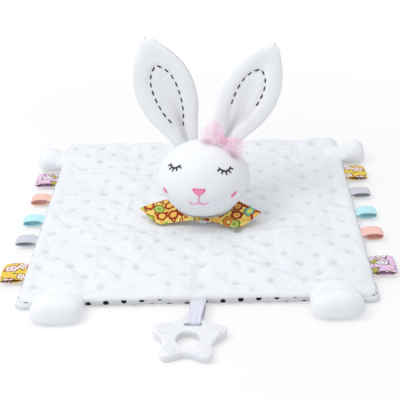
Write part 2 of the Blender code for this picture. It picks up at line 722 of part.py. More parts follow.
def build_nose_and_mouth(parent):
    """A small triangle of satin stitch, then the two curves of the mouth with the line up to the nose."""
    bm = bmesh.new()
    rows = len(NOSE_ROW_SHARES) - 1
    bmesh.ops.create_grid(bm, x_segments=NOSE_COLUMNS, y_segments=rows, size=1.0)
    for vert in bm.verts:
        row = round((1 - vert.co.y) / 2 * rows)
        vert.co = (vert.co.x * NOSE_WIDTH / 2 * NOSE_ROW_SHARES[row], -NOSE_HEIGHT * row / rows, 0.0)
    add_piece("nose_embroidery", seat_on_head(bm, NOSE_ANGLES), "pink_thread", parent)
    bm = bmesh.new()
    level = -NOSE_HEIGHT - PHILTRUM - CLEARANCE - THREAD_WIDTH / 2
    curve = [(MOUTH_WIDTH / 2 * share, level + MOUTH_SAG * share ** 4) for share in MOUTH_STATION_SHARES]
    upper = stitch_band(bm, curve, THREAD_WIDTH)[0]
    sprout(bm, upper[MOUTH_STEM_STATION], Vector((0.0, 1.0, 0.0)), PHILTRUM, STEM_STEPS)
    add_piece("mouth_embroidery", seat_on_head(bm, NOSE_ANGLES), "pink_thread", parent)


def build_cheek(name, centre, lean, parent):
    """A short slanted dash of pink satin stitch."""
    bm = bmesh.new()
    rows = len(CHEEK_SHARES) - 1
    bmesh.ops.create_grid(bm, x_segments=1, y_segments=rows, size=1.0)
    for vert in bm.verts:
        row = round((1 - vert.co.y) / 2 * rows)
        up = CHEEK_LENGTH * (0.5 - row / rows)
        vert.co = (vert.co.x * CHEEK_WIDTH / 2 * CHEEK_SHARES[row] + lean * up, up, 0.0)
    add_piece(name, seat_on_head(bm, centre), "pink_thread", parent)


# Bow: its two ends from its middle, then places along it, half width and half thickness
BOW_UP_END_SHARES = (-0.46, 0.09, 0.30)
BOW_LOW_END_SHARES = (0.47, -0.23, -0.20)
BOW_RING_SHARES = ((0.0, 0.42, 0.30), (0.08, 0.88, 0.70), (0.22, 1.0, 1.0), (0.36, 0.66, 0.86),
                   (0.46, 0.24, 0.42), (0.56, 0.24, 0.42), (0.68, 0.50, 0.70), (0.84, 0.72, 0.74),
                   (1.0, 0.50, 0.34))
BOW_WAIST_RINGS = (4, 5)
BOW_OUT = 24.0
BOW_BACK = 0.0
BOW_FACING = 30.0
BOW_SIDES = 16


def bow_frame():
    """Middle and ends of the bow, then its heading, its width's direction and its front."""
    middle = crown_place(BOW_OUT, BOW_BACK, BOW_STAND)
    ends = [middle + Vector(shares) * BOW_LENGTH for shares in (BOW_UP_END_SHARES, BOW_LOW_END_SHARES)]
    heading = (ends[1] - ends[0]).normalized()
    facing = math.radians(BOW_FACING)
    front = Vector((0.0, -math.cos(facing), math.sin(facing)))
    up = front.cross(heading).normalized()
    return ends, heading, up, heading.cross(up)


def oval(centre, wide, thick, sides, exponent=1.0):
    """A ring of points round two directions."""
    turns = [2 * math.pi * (k + 0.5) / sides for k in range(sides)]
    return [centre + wide * power(math.cos(turn), exponent) + thick * power(math.sin(turn), exponent)
            for turn in turns]


def build_bow(parent):
    """Gathered tulle with a wide upper and a smaller lower lobe, and the thread that ties it down."""
    ends, heading, up, front = bow_frame()
    rings = []
    for share, width, thickness in BOW_RING_SHARES:
        ring = oval(ends[0].lerp(ends[1], share), up * (BOW_WIDTH / 2 * width),
                    front * (BOW_THICKNESS / 2 * thickness), BOW_SIDES)
        rings.append([clear_of_head(point, BOW_EASE) for point in ring])
    add_piece("tulle_bow", loft(rings), "tulle", parent)
    waist = [BOW_RING_SHARES[ring] for ring in BOW_WAIST_RINGS]
    centre = ends[0].lerp(ends[1], (waist[0][0] + waist[1][0]) / 2)
    wide = BOW_WIDTH / 2 * waist[0][1] + CLEARANCE
    thick = BOW_THICKNESS / 2 * waist[0][2] + CLEARANCE
    tie = band_round(centre, heading * (BOW_TIE_LENGTH / 2), up, front, (wide, thick), BOW_TIE_WALL, 1.0)
    add_piece("bow_tie", tie, "pink_thread", parent)


def band_round(centre, half_length, wide, thick, halves, wall, exponent):
    """A short sleeve of thread round a gathered middle."""
    rows = []
    for side, grow in ((-1, 0.0), (-1, wall), (1, wall), (1, 0.0)):
        rows.append(oval(centre + half_length * side, wide * (halves[0] + grow), thick * (halves[1] + grow),
                         BOW_SIDES, exponent))
    return sleeve(rows)


def sleeve(rows):
    """A closed ring body through rows of points, the last joined to the first."""
    bm = bmesh.new()
    loops = [[bm.verts.new(point) for point in row] for row in rows]
    count = len(loops[0])
    for low, high in zip(loops, loops[1:] + loops[:1]):
        for k in range(count):
            after = (k + 1) % count
            bm.faces.new((low[k], low[after], high[after], high[k]))
    return finished(bm)


# Collar: shares of its half span, its depth forward or back, and its lift, from the middle to the tip
COLLAR_FRONT_SHARES = ((0.0, -0.22, 0.38), (0.14, -0.36, 0.24), (0.34, -0.25, 0.04), (0.60, -0.62, 0.0),
                       (0.77, 0.05, 0.22), (0.97, 0.34, 0.82))
COLLAR_BACK_SHARES = ((0.0, -0.20, 0.80), (0.12, -0.05, 0.82), (0.32, 0.40, 0.92), (0.60, 1.05, 1.02),
                      (0.80, 0.70, 0.95), (1.0, 0.40, 0.85))
COLLAR_COLUMNS = 4
COLLAR_THREAD_ROUND = 0.4


def collar_place(side, row, column, high):
    """A point of the collar's upper or lower face, turned with the collar and kept off the head."""
    low_edge = COLLAR_FRONT_SHARES[row]
    high_edge = COLLAR_BACK_SHARES[row]
    part = column / COLLAR_COLUMNS
    across = side * COLLAR_SPAN / 2 * (low_edge[0] + (high_edge[0] - low_edge[0]) * part)
    ends = [share * (COLLAR_BACK if share > 0 else COLLAR_FRONT) for share in (low_edge[1], high_edge[1])]
    deep = ends[0] + (ends[1] - ends[0]) * part
    lift = COLLAR_LIFT * (low_edge[2] + (high_edge[2] - low_edge[2]) * part)
    point = Vector((across, deep, 0.0))
    point.rotate(Matrix.Rotation(math.radians(COLLAR_TURN), 3, "Z"))
    point += Vector((HEAD_X - COLLAR_SHIFT, COLLAR_MIDDLE_Y, COLLAR_HEIGHT + lift))
    point = clear_of_head(point, COLLAR_EASE)
    return point if high else point - Vector((0.0, 0.0, COLLAR_CLOTH))


def build_collar(parent):
    """Two pointed wings of doubled cotton in one piece, and the thread that gathers its middle."""
    rows = range(len(COLLAR_FRONT_SHARES))
    columns = range(COLLAR_COLUMNS + 1)
    rings = []
    for side, row in [(-1, row) for row in reversed(rows)] + [(1, row) for row in rows[1:]]:
        low = [collar_place(side, row, column, False) for column in columns]
        high = [collar_place(side, row, column, True) for column in reversed(columns)]
        rings.append(low + high)
    add_piece("collar", loft(rings), "floral_cotton", parent)
    middle = [collar_place(1, 0, column, high) for high in (True, False) for column in (0, COLLAR_COLUMNS)]
    centre = sum(middle, Vector()) / len(middle)
    deep = (middle[1] - middle[0]).normalized()
    heading = deep.cross(Vector((0.0, 0.0, 1.0))).normalized()
    halves = ((middle[1] - middle[0]).length / 2 + 3 * CLEARANCE, COLLAR_CLOTH / 2 + 4 * CLEARANCE)
    thread = band_round(centre, heading * COLLAR_THREAD, deep, heading.cross(deep), halves,
                        COLLAR_THREAD, COLLAR_THREAD_ROUND)
    add_piece("collar_thread", thread, "floral_cotton", parent)


# Paws: distance from the hinge axis as a share of the reach, half width, height above and depth below
PAW_RING_SHARES = ((0.0, 0.86, 0.0, 0.0), (0.13, 0.93, 0.30, 0.60), (0.32, 0.98, 0.76, 0.94),
                   (0.56, 1.0, 1.0, 1.0), (0.77, 0.93, 0.95, 0.97), (0.92, 0.72, 0.70, 0.76),
                   (1.0, 0.40, 0.32, 0.36))
PAW_ROOT_SHARE = 0.85
PAW_SIDES = 16
PAW_SIDE_POWER = 0.8
PAW_HEIGHT_POWER = 0.85


def paw_ring(frame, share, inset):
    """A section of a paw across its length."""
    hinge, outward, sizes = frame
    reach, width, thickness = sizes
    wide, above, below = read_table(PAW_RING_SHARES, share)
    sideways = Vector((-outward.y, outward.x, 0.0))
    length = reach - PAW_KNUCKLE - CLEARANCE - inset
    rise = thickness - SEAM_HEIGHT
    drop = SEAM_HEIGHT - PAW_LIFT
    high = PAW_KNUCKLE + (rise - PAW_KNUCKLE) * above - inset
    low = PAW_KNUCKLE + (drop - PAW_KNUCKLE) * below - inset
    ring = []
    for k in range(PAW_SIDES):
        turn = 2 * math.pi * k / PAW_SIDES
        side = (width / 2 * wide - inset) * power(math.cos(turn), PAW_SIDE_POWER)
        tall = power(math.sin(turn), PAW_HEIGHT_POWER)
        tall *= high if tall > 0 else low
        ring.append(hinge + outward * (share * length) + sideways * side + Vector((0.0, 0.0, tall)))
    return ring


def paw_root(frame, inset):
    """The knuckle's cut end, which faces the seam."""
    hinge, outward, sizes = frame
    back = PAW_ROOT_SHARE * PAW_KNUCKLE
    squeeze = (math.sqrt(PAW_KNUCKLE ** 2 - back ** 2) - inset) / (PAW_KNUCKLE - inset)
    ring = paw_ring(frame, 0.0, inset)
    return [Vector((p.x, p.y, hinge.z + (p.z - hinge.z) * squeeze)) - outward * back for p in ring]


def build_paw(name, parent, outward, sizes):
    """Paw cover open at its root, and its stuffing."""
    frame = (parent.location, outward, sizes)
    shares = [row[0] for row in PAW_RING_SHARES]
    outer = [paw_root(frame, 0.0)] + [paw_ring(frame, share, 0.0) for share in shares]
    inner = [paw_root(frame, PAW_WALL)] + [paw_ring(frame, share, PAW_WALL) for share in shares]
    add_piece(name + "_cover", shell(inner, outer), "plush", parent)
    stuffing = [paw_ring(frame, share, PAW_WALL + CLEARANCE) for share in shares]
    add_piece(name + "_stuffing", loft(stuffing), "wadding", parent)


# Ribbon loops: places along the reach and half openings, from the root round the end and back
TAG_UPPER_SHARES = ((0.0, 0.22), (0.07, 0.46), (0.16, 0.74), (0.28, 0.94), (0.45, 1.0), (0.62, 0.98),
                    (0.78, 0.88), (0.90, 0.66), (0.97, 0.36))
TAG_KINDS = {
    "left": ("pink_print", "coral_satin", "cyan_satin", "grey_satin", "yellow_print"),
    "right": ("yellow_print", "grey_satin", "cyan_satin", "coral_satin", "pink_print"),
}


def ribbon_band(path, half_widths, cloth):
    """A closed band of cloth: a looped path in one plane, widened along its normal, given thickness."""
    rows = []
    count = len(path)
    for k, (place, wide) in enumerate(zip(path, half_widths)):
        along = (path[(k + 1) % count] - path[k - 1]).normalized()
        out = along.cross(wide).normalized()
        rows.append([place + wide + out * (cloth / 2), place - wide + out * (cloth / 2),
                     place - wide - out * (cloth / 2), place + wide - out * (cloth / 2)])
    columns = [[row[corner] for row in rows] for corner in range(4)]
    return sleeve(columns)


def tag_path(root, outward, reach):
    """Middle line of a folded tag: out along the top, round the end and back below."""
    line = [(share * reach, rise * TAG_RISE) for share, rise in TAG_UPPER_SHARES]
    line += [(reach, 0.0)] + [(across, -rise) for across, rise in reversed(line)]
    line += [(-TAG_KNUCKLE * 0.5, -TAG_CLOTH * 0.55), (-TAG_KNUCKLE * 0.5, TAG_CLOTH * 0.55)]
    return [root + outward * across + Vector((0.0, 0.0, rise)) for across, rise in line]


def build_tag(name, parent, side, kind):
    """One folded ribbon tag in the side seam."""
    printed = kind.endswith("print")
    reach = (PRINT_REACH if printed else SATIN_REACH) - TAG_KNUCKLE - CLEARANCE
    width = PRINT_WIDTH if printed else SATIN_WIDTH
    path = tag_path(parent.location, Vector((side, 0.0, 0.0)), reach)
    add_piece(name, ribbon_band(path, [Vector((0.0, width / 2, 0.0))] * len(path), TAG_CLOTH), kind, parent)


# Star teether
STAR_STEPS = 70
SLOT_STEPS = 6
HOLE_SIDES = 32


def star_matrix():
    """Place of the star: lying on two of its points, its top point propped on the ribbon."""
    spin = Matrix.Rotation(math.radians(STAR_TURN), 4, "Z")
    tilt = Matrix.Rotation(math.radians(STAR_TILT), 4, "X")
    prop = Vector((0.0, STAR_REST, 0.0))
    return Matrix.Translation(Vector((STAR_X, STAR_Y, 0.0)) - prop) @ tilt @ Matrix.Translation(prop) @ spin


def build_teether(parent):
    """Silicone star with a round hole, and a slot for the ribbon in its top point."""
    bm = bmesh.new()
    outline = []
    for k in range(STAR_STEPS):
        turn = 2 * math.pi * k / STAR_STEPS
        radius = STAR_RADIUS + STAR_POINT * math.cos(5 * turn) + STAR_SHARPEN * math.cos(10 * turn)
        outline.append((radius * math.sin(turn), radius * math.cos(turn)))
    face = bm.faces.new([bm.verts.new((x, y, 0.0)) for x, y in outline])
    top = bmesh.ops.extrude_face_region(bm, geom=[face])
    for item in top["geom"]:
        if isinstance(item, bmesh.types.BMVert):
            item.co.z = STAR_THICKNESS
    rims = [edge for edge in bm.edges if abs(edge.verts[0].co.z - edge.verts[1].co.z) < STAR_EDGE]
    bmesh.ops.bevel(bm, geom=rims, offset=STAR_EDGE, offset_type="OFFSET", segments=2, profile=0.5,
                    affect="EDGES")
    bmesh.ops.recalc_face_normals(bm, faces=bm.faces)
    bmesh.ops.transform(bm, matrix=star_matrix(), verts=bm.verts)
    star = add_piece("star_teether", bm, "silicone", parent)
    cut(star, round_cutter(), parent)
    cut(star, slot_cutter(), parent)


def round_cutter():
    """Cylinder for the star's finger hole."""
    bm = bmesh.new()
    deep = STAR_THICKNESS + 2 * CUT_OVERRUN
    place = Matrix.Translation((0.0, -STAR_HOLE_SETBACK, STAR_THICKNESS / 2))
    bmesh.ops.create_cone(bm, cap_ends=True, segments=HOLE_SIDES, radius1=STAR_HOLE / 2,
                          radius2=STAR_HOLE / 2, depth=deep, matrix=star_matrix() @ place)
    return bm


def slot_cutter():
    """Long hole with round ends for the ribbon."""
    bm = bmesh.new()
    outline = []
    end_radius = STAR_SLOT_WIDTH / 2
    straight = STAR_SLOT_LENGTH / 2 - end_radius
    for side in (1, -1):
        for k in range(SLOT_STEPS + 1):
            turn = math.pi * k / SLOT_STEPS - math.pi / 2
            outline.append((side * (straight + end_radius * math.cos(turn)) + STAR_SLOT_SHIFT,
                            side * end_radius * math.sin(turn) + STAR_SLOT_ADVANCE))
    face = bm.faces.new([bm.verts.new((x, y, -CUT_OVERRUN)) for x, y in outline])
    top = bmesh.ops.extrude_face_region(bm, geom=[face])
    for item in top["geom"]:
        if isinstance(item, bmesh.types.BMVert):
            item.co.z = STAR_THICKNESS + CUT_OVERRUN
    bmesh.ops.recalc_face_normals(bm, faces=bm.faces)
    bmesh.ops.transform(bm, matrix=star_matrix(), verts=bm.verts)
    return bm


def cut(piece, bm, parent):
    """Cut a hole in a piece with a hidden cutter."""
    cutter = add_piece(piece.name + "_cutter", bm, "silicone", parent)
    cutter.hide_render = True
    cutter.display_type = "WIRE"
    modifier = piece.modifiers.new("hole", "BOOLEAN")
    modifier.operation = "DIFFERENCE"
    modifier.solver = "EXACT"
    modifier.object = cutter


# Ribbon: places from the seam to the slot, with the ribbon's half width and its middle
def star_spot(across, advance, height):
    """A place on the star, given in the star's own measures."""
    return star_matrix() @ Vector((across, advance, height))


def build_ribbon(parent):
    """Ribbon loop from the front seam, over the star's top point, down its slot and back below."""
    root = parent.location
    lay = RIBBON_CLOTH / 2 + 2 * CLEARANCE
    drop = STAR_SLOT_WIDTH / 2
    top = star_spot(STAR_SLOT_SHIFT, STAR_SLOT_ADVANCE, STAR_THICKNESS)
    base = star_spot(STAR_SLOT_SHIFT, STAR_SLOT_ADVANCE, 0.0)
    tip_top = star_spot(0.0, STAR_TIP, STAR_THICKNESS)
    tip_base = star_spot(0.0, STAR_TIP, 0.0)
    split = RIBBON_CLOTH * 0.85
    inset = RIBBON_KNUCKLE - RIBBON_CLOTH / 2
    upper = [(root.y + inset, root.z + split * 0.6), (root.y, root.z + split),
             (root.y - inset, root.z + split * 1.5), (tip_top.y + drop * 2, tip_top.z + lay * 0.4),
             (tip_top.y - drop, tip_top.z + lay),
             ((tip_top.y + top.y) / 2, (tip_top.z + top.z) / 2 + lay),
             (top.y + drop, top.z + lay), (top.y + drop * 0.4, top.z + lay * 0.5)]
    through = [(top.y + drop * 0.1, top.z - lay * 0.5), (top.y, (top.z + base.z) / 2),
               (base.y + drop * 0.1, base.z + lay * 0.5)]
    lower = [(base.y + drop * 0.4, base.z - lay * 0.5), (base.y + drop, base.z - lay),
             ((tip_base.y + base.y) / 2, (tip_base.z + base.z) / 2 - lay),
             (tip_base.y - drop, tip_base.z - lay), (tip_base.y + drop * 2, tip_base.z - lay * 0.2),
             (root.y - inset, root.z - split * 1.5),
             (root.y, root.z - split), (root.y + inset, root.z - split * 0.6)]
    slot_x = top.x + (STAR_SLOT_LENGTH - RIBBON_SLOT_WIDTH - STAR_SLOT_WIDTH * 0.6) / 2
    path = []
    halves = []
    for place_y, place_z in upper + through + lower:
        part = smooth((root.y - place_y) / (root.y - top.y))
        path.append(Vector((RIBBON_X + (slot_x - RIBBON_X) * part, place_y, place_z)))
        halves.append(Vector(((RIBBON_WIDTH + (RIBBON_SLOT_WIDTH - RIBBON_WIDTH) * part) / 2, 0.0, 0.0)))
    add_piece("teether_ribbon", ribbon_band(path, halves, RIBBON_CLOTH), "white_ribbon", parent)


def main():
    """Build every piece of the toy."""
    clear_scene()
    build_blanket()
    neck = pivot("neck_turn_axis", HEAD_CENTRE)
    core = pivot("head_tilt_axis", HEAD_CENTRE)
    head = pivot("head_nod_axis", HEAD_CENTRE)
    build_neck(neck)
    build_collar(neck)
    build_head(head, core)
    build_eye("left_eye_embroidery", EYE_LEFT_ANGLES, EYE_LEFT_ROLL, head)
    build_eye("right_eye_embroidery", EYE_RIGHT_ANGLES, EYE_RIGHT_ROLL, head)
    build_nose_and_mouth(head)
    build_cheek("left_cheek_mark", CHEEK_LEFT_ANGLES, -CHEEK_LEAN, head)
    build_cheek("right_cheek_mark", CHEEK_RIGHT_ANGLES, CHEEK_LEAN, head)
    build_bow(head)
    for name, ear in EARS.items():
        frame = ear_frame(ear)
        build_ear(name, pivot(name + "_axis", frame[0]), frame)
    paw_edge = HALF_SIDE + CLEARANCE + PAW_KNUCKLE
    for side, word in ((-1, "left"), (1, "right")):
        foot = pivot(word + "_foot_axis", (side * FOOT_OFFSET, -paw_edge, SEAM_HEIGHT))
        build_paw(word + "_foot", foot, Vector((0.0, -1.0, 0.0)), (FOOT_REACH, FOOT_WIDTH, FOOT_THICKNESS))
        hand = pivot(word + "_hand_axis", (side * paw_edge, HAND_PLACE, SEAM_HEIGHT))
        build_paw(word + "_hand", hand, Vector((side, 0.0, 0.0)), (HAND_REACH, HAND_WIDTH, HAND_THICKNESS))
        tag_edge = HALF_SIDE + CLEARANCE + TAG_KNUCKLE
        for place, kind in zip(TAG_PLACES, TAG_KINDS[word]):
            name = word + "_" + kind.replace("print", "printed") + "_tag"
            build_tag(name, pivot(name + "_axis", (side * tag_edge, place, SEAM_HEIGHT)), side, kind)
    ribbon = pivot("ribbon_axis", (RIBBON_X, -(HALF_SIDE + CLEARANCE + RIBBON_KNUCKLE), SEAM_HEIGHT))
    build_ribbon(ribbon)
    build_teether(pivot("teether_axis", star_spot(STAR_SLOT_SHIFT, STAR_SLOT_ADVANCE, STAR_THICKNESS / 2)))


main()
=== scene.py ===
"""Comfort blanket lovey: plush, velour, thread, net, ribbon and silicone over the packed frame."""
import math

import bmesh
import bpy
from bpy.props import FloatProperty, FloatVectorProperty, IntProperty, PointerProperty
from bpy.types import Operator, Panel, PropertyGroup
from mathutils import Matrix, Vector, noise
from mathutils.bvhtree import BVHTree


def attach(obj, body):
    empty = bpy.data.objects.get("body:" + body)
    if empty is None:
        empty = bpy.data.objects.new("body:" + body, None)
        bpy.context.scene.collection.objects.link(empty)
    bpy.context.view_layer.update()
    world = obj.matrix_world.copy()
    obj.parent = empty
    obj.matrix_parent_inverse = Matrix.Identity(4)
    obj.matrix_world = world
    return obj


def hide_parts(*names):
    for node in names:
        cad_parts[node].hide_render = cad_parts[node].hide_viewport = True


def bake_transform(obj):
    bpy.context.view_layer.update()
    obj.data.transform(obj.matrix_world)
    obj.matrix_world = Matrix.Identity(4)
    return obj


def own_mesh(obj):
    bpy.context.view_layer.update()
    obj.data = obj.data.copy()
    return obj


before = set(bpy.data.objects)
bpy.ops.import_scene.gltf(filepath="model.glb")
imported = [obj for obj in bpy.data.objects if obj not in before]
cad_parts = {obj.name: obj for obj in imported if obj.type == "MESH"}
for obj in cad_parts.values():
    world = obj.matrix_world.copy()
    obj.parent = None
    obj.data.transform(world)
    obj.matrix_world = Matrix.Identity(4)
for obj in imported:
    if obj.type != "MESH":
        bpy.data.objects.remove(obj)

bl_info = {
    "name": "Comfort blanket lovey",
    "version": (1, 0, 0),
    "blender": (4, 5, 0),
    "location": "View3D > Sidebar > Lovey",
    "description": "Dresses the lovey's solids with quilted plush, a stuffed head, ribbons and a teether",
    "category": "Object",
}

# The solids' own measures, in metres, which the soft pieces are laid over
HALF_SIDE = 0.140
CORNER_ROUND = 0.007
CROWN = 0.0105
SEAM_HEIGHT = 0.0055
SEAT_HEIGHT = 0.0083
SEAT_WIDTH = 0.0282
SEAT_LENGTH = 0.0452
SEAT_FALL = 0.0165
HEAD_CENTRE = Vector((0.0055, -0.018, 0.047))
HEAD_AXES = Vector((0.0405, 0.0357, 0.0357))
HEAD_TAPER = 0.09
HEAD_TAPER_FROM = 5.0
HEAD_TAPER_SPAN = 35.0
HEAD_SWING = 15.0
NECK_RADIUS = 0.0125
NECK_EASE = 0.0012
PAW_EDGE = 0.1428
TAG_EDGE = 0.1415
RIBBON_ROOT = Vector((0.0015, -0.1415, 0.0055))
Z_UP = Vector((0.0, 0.0, 1.0))


def length_property(name, description, default):
    """A size in metres that a user may change."""
    return FloatProperty(name=name, description=description, default=default, min=0.0, precision=5,
                         unit="LENGTH")


def colour_property(name, description, default):
    """A linear colour that a user may change."""
    return FloatVectorProperty(name=name, description=description, default=default, size=3, min=0.0,
                               max=1.0, subtype="COLOR")


class QuiltLook(PropertyGroup):
    """Sizes and colours of the quilted square."""
    cells: IntProperty(name="Cells", description="Cells of the quilt's surface along one side",
                       default=216, min=40, max=300)
    dimple_pitch: length_property("Dimple pitch", "Distance between dimples in one row", 0.0268)
    dimple_rows: length_property("Dimple rows", "Distance between two rows of dimples", 0.0137)
    dimple_width: length_property("Dimple width", "Width of a dimple at its rim", 0.0122)
    dimple_depth: length_property("Dimple depth", "Depth of a dimple", 0.0017)
    print_pitch: length_property("Print pitch", "Distance between printed dots in one row", 0.0139)
    print_width: length_property("Print width", "Width of a printed dot on the back cloth", 0.0043)
    plush: colour_property("Plush", "Colour of the quilt's plush", (0.845, 0.865, 0.905))
    puff: length_property("Puff", "Height of the soft puffs between the dimples", 0.0011)
    cotton: colour_property("Cotton", "Colour of the back cloth", (0.80, 0.80, 0.83))
    ink: colour_property("Ink", "Colour of the printed dots", (0.006, 0.006, 0.008))


class HeadLook(PropertyGroup):
    """Sizes and colours of the head, its ears and its face."""
    lumps: length_property("Lumps", "Depth of the stuffing's soft lumps", 0.0005)
    pleats: IntProperty(name="Pleats", description="Gathers round the neck", default=18, min=6, max=40)
    stitch_length: length_property("Stitch length", "Length of a running stitch on the ears", 0.0047)
    stitch_gap: length_property("Stitch gap", "Gap between two running stitches", 0.0025)
    stitch_width: length_property("Stitch width", "Width of the ears' thread", 0.0015)
    velour: colour_property("Velour", "Colour of the head and ears", (0.87, 0.885, 0.915))
    black_thread: colour_property("Black thread", "Colour of the eyes and the ears' stitches",
                                  (0.018, 0.012, 0.014))
    pink_thread: colour_property("Pink thread", "Colour of the nose, mouth and cheeks",
                                 (0.93, 0.29, 0.46))


class BowLook(PropertyGroup):
    """Sizes and colours of the net bow and the floral collar."""
    layers: IntProperty(name="Layers", description="Layers of net in the bow", default=3, min=1, max=10)
    ruffle: length_property("Ruffle", "Depth of the net's ruffles at its ends", 0.0025)
    net: colour_property("Net", "Colour of the bow's net", (1.0, 0.68, 0.84))
    collar_ground: colour_property("Collar ground", "Ground colour of the collar's cotton",
                                   (0.97, 0.73, 0.20))
    collar_cloth: length_property("Collar cloth", "Thickness of the collar's doubled cotton", 0.0016)
    tie: colour_property("Bow's thread", "Colour of the thread round the bow's middle", (0.94, 0.52, 0.68))
    collar_tie: colour_property("Collar's thread", "Colour of the thread round the collar's middle",
                                (0.80, 0.50, 0.10))


class RibbonLook(PropertyGroup):
    """Colours of the ribbon tags, the teether and its ribbon."""
    coral: colour_property("Coral", "Colour of the coral satin tags", (0.92, 0.56, 0.48))
    cyan: colour_property("Cyan", "Colour of the light blue satin tags", (0.50, 0.84, 0.91))
    grey: colour_property("Grey", "Colour of the grey satin tags", (0.60, 0.61, 0.68))
    pink: colour_property("Pink", "Ground colour of the pink printed tags", (0.80, 0.54, 0.76))
    yellow: colour_property("Yellow", "Ground colour of the yellow printed tags", (0.78, 0.58, 0.07))
    white: colour_property("White", "Colour of the teether's ribbon", (0.74, 0.74, 0.86))
    silicone: colour_property("Silicone", "Colour of the teether", (0.80, 0.81, 0.85))
    ridge_height: length_property("Ridge height", "Height of the teether's gum ridges", 0.0013)
    ridge_pitch: length_property("Ridge pitch", "Distance between two gum ridges", 0.0030)


class StageLook(PropertyGroup):
    """The camera and the lights."""
    focal: FloatProperty(name="Focal length", description="Focal length on a 36 mm sensor",
                         default=80.8, min=10.0, unit="CAMERA")
    pitch: FloatProperty(name="Pitch", description="How far the camera looks down",
                         default=math.radians(28.716), subtype="ANGLE", unit="ROTATION")
    turn: FloatProperty(name="Turn", description="How far the camera stands to the right of the front",
                        default=math.radians(1.9571), subtype="ANGLE", unit="ROTATION")
    roll: FloatProperty(name="Roll", description="How far the camera is rolled",
                        default=math.radians(-2.2765), subtype="ANGLE", unit="ROTATION")
    distance: length_property("Distance", "Distance from the camera to where it looks", 0.8451)
    sky: FloatProperty(name="Sky", description="Strength of the soft light from all round",
                       default=0.66, min=0.0)
    key: FloatProperty(name="Key", description="Power of the light from the upper left", default=4.7,
                       min=0.0, unit="POWER")
    top: FloatProperty(name="Top", description="Power of the large light overhead", default=3.4,
                       min=0.0, unit="POWER")


# Small helpers for shapes
def smooth(share):
    """Ease from 0 to 1."""
    share = min(1.0, max(0.0, share))
    return share * share * (3 - 2 * share)


def power(value, exponent):
    """A power that keeps the sign, for rounded-square sections."""
    return math.copysign(abs(value) ** exponent, value)


def bell(distance, spread):
    """A soft hump round zero."""
    return math.exp(-(distance / spread) ** 2)


def curve_at(table, place):
    """Values of a table of shares at a place, along smooth curves through its rows."""
    last = len(table) - 1
    k = 0
    while k < last - 1 and place > table[k + 1][0]:
        k += 1
    low, high = table[k], table[k + 1]
    before, after = table[max(0, k - 1)], table[min(last, k + 2)]
    step = high[0] - low[0]
    part = min(1.0, max(0.0, (place - low[0]) / step))
    values = []
    for c in range(1, len(low)):
        slope_low = (high[c] - before[c]) / (high[0] - before[0]) * step
        slope_high = (after[c] - low[c]) / (after[0] - low[0]) * step
        s2, s3 = part * part, part ** 3
        values.append((2 * s3 - 3 * s2 + 1) * low[c] + (s3 - 2 * s2 + part) * slope_low
                      + (3 * s2 - 2 * s3) * high[c] + (s3 - s2) * slope_high)
    return values


def path_at(points, share):
    """A point on a smooth curve through evenly numbered points, and its heading."""
    rows = [(k, *point) for k, point in enumerate(points)]
    at = share * (len(points) - 1)
    step = 0.02
    here = Vector(curve_at(rows, at))
    ahead = Vector(curve_at(rows, min(len(points) - 1, at + step)))
    behind = Vector(curve_at(rows, max(0.0, at - step)))
    return here, (ahead - behind).normalized()


def cloth_grid(columns, rows, place):
    """A mesh over a grid, each point put where place(across, along) says, joined where it closes."""
    bm = bmesh.new()
    bm.loops.layers.uv.new("cloth")
    bmesh.ops.create_grid(bm, x_segments=columns, y_segments=rows, size=1.0, calc_uvs=True)
    for vert in bm.verts:
        vert.co = place((vert.co.x + 1) / 2, (vert.co.y + 1) / 2)
    return bm


def closed(bm):
    """Merge what meets and turn every face outwards."""
    bmesh.ops.remove_doubles(bm, verts=bm.verts, dist=1e-6)
    bmesh.ops.dissolve_degenerate(bm, dist=1e-7, edges=bm.edges)
    bmesh.ops.recalc_face_normals(bm, faces=bm.faces)
    if bm.calc_volume(signed=True) < 0:
        bmesh.ops.reverse_faces(bm, faces=bm.faces)
    return bm


def cap_rims(bm):
    """Close every open rim with a face."""
    rims = [edge for edge in bm.edges if edge.is_boundary]
    bmesh.ops.holes_fill(bm, edges=rims, sides=0)
    return closed(bm)


def walled(bm, thickness):
    """Give a sheet its cloth thickness, half to each side."""
    bmesh.ops.recalc_face_normals(bm, faces=bm.faces)
    bm.normal_update()
    way = bm.verts.layers.float_vector.new("way")
    for vert in bm.verts:
        vert[way] = vert.normal
    under = list(bm.verts)
    grown = bmesh.ops.extrude_face_region(bm, geom=list(bm.faces), use_keep_orig=True)["geom"]
    for vert in under:
        vert.co -= vert[way] * (thickness / 2)
    for item in grown:
        if isinstance(item, bmesh.types.BMVert):
            item.co += item[way] * (thickness / 2)
    bm.verts.layers.float_vector.remove(way)
    bmesh.ops.recalc_face_normals(bm, faces=bm.faces)
    return bm


def join_part(bm, part):
    """Add a finished part to the mesh of a piece that has several."""
    mesh = bpy.data.meshes.new("part")
    part.to_mesh(mesh)
    part.free()
    bm.from_mesh(mesh)
    bpy.data.meshes.remove(mesh)


def tube(bm, points, radii, sides=8):
    """A thread round a line of points, with its radius at each."""
    count = len(points)

    def place(across, along):
        k = min(count - 1, round(along * (count - 1)))
        ahead = points[min(count - 1, k + 1)] - points[max(0, k - 1)]
        side = ahead.cross(Z_UP + Vector((0.13, 0.07, 0.0))).normalized()
        up = side.cross(ahead).normalized()
        turn = 2 * math.pi * across
        return points[k] + (side * math.cos(turn) + up * math.sin(turn)) * radii[k]

    join_part(bm, closed(cloth_grid(sides, count - 1, place)))


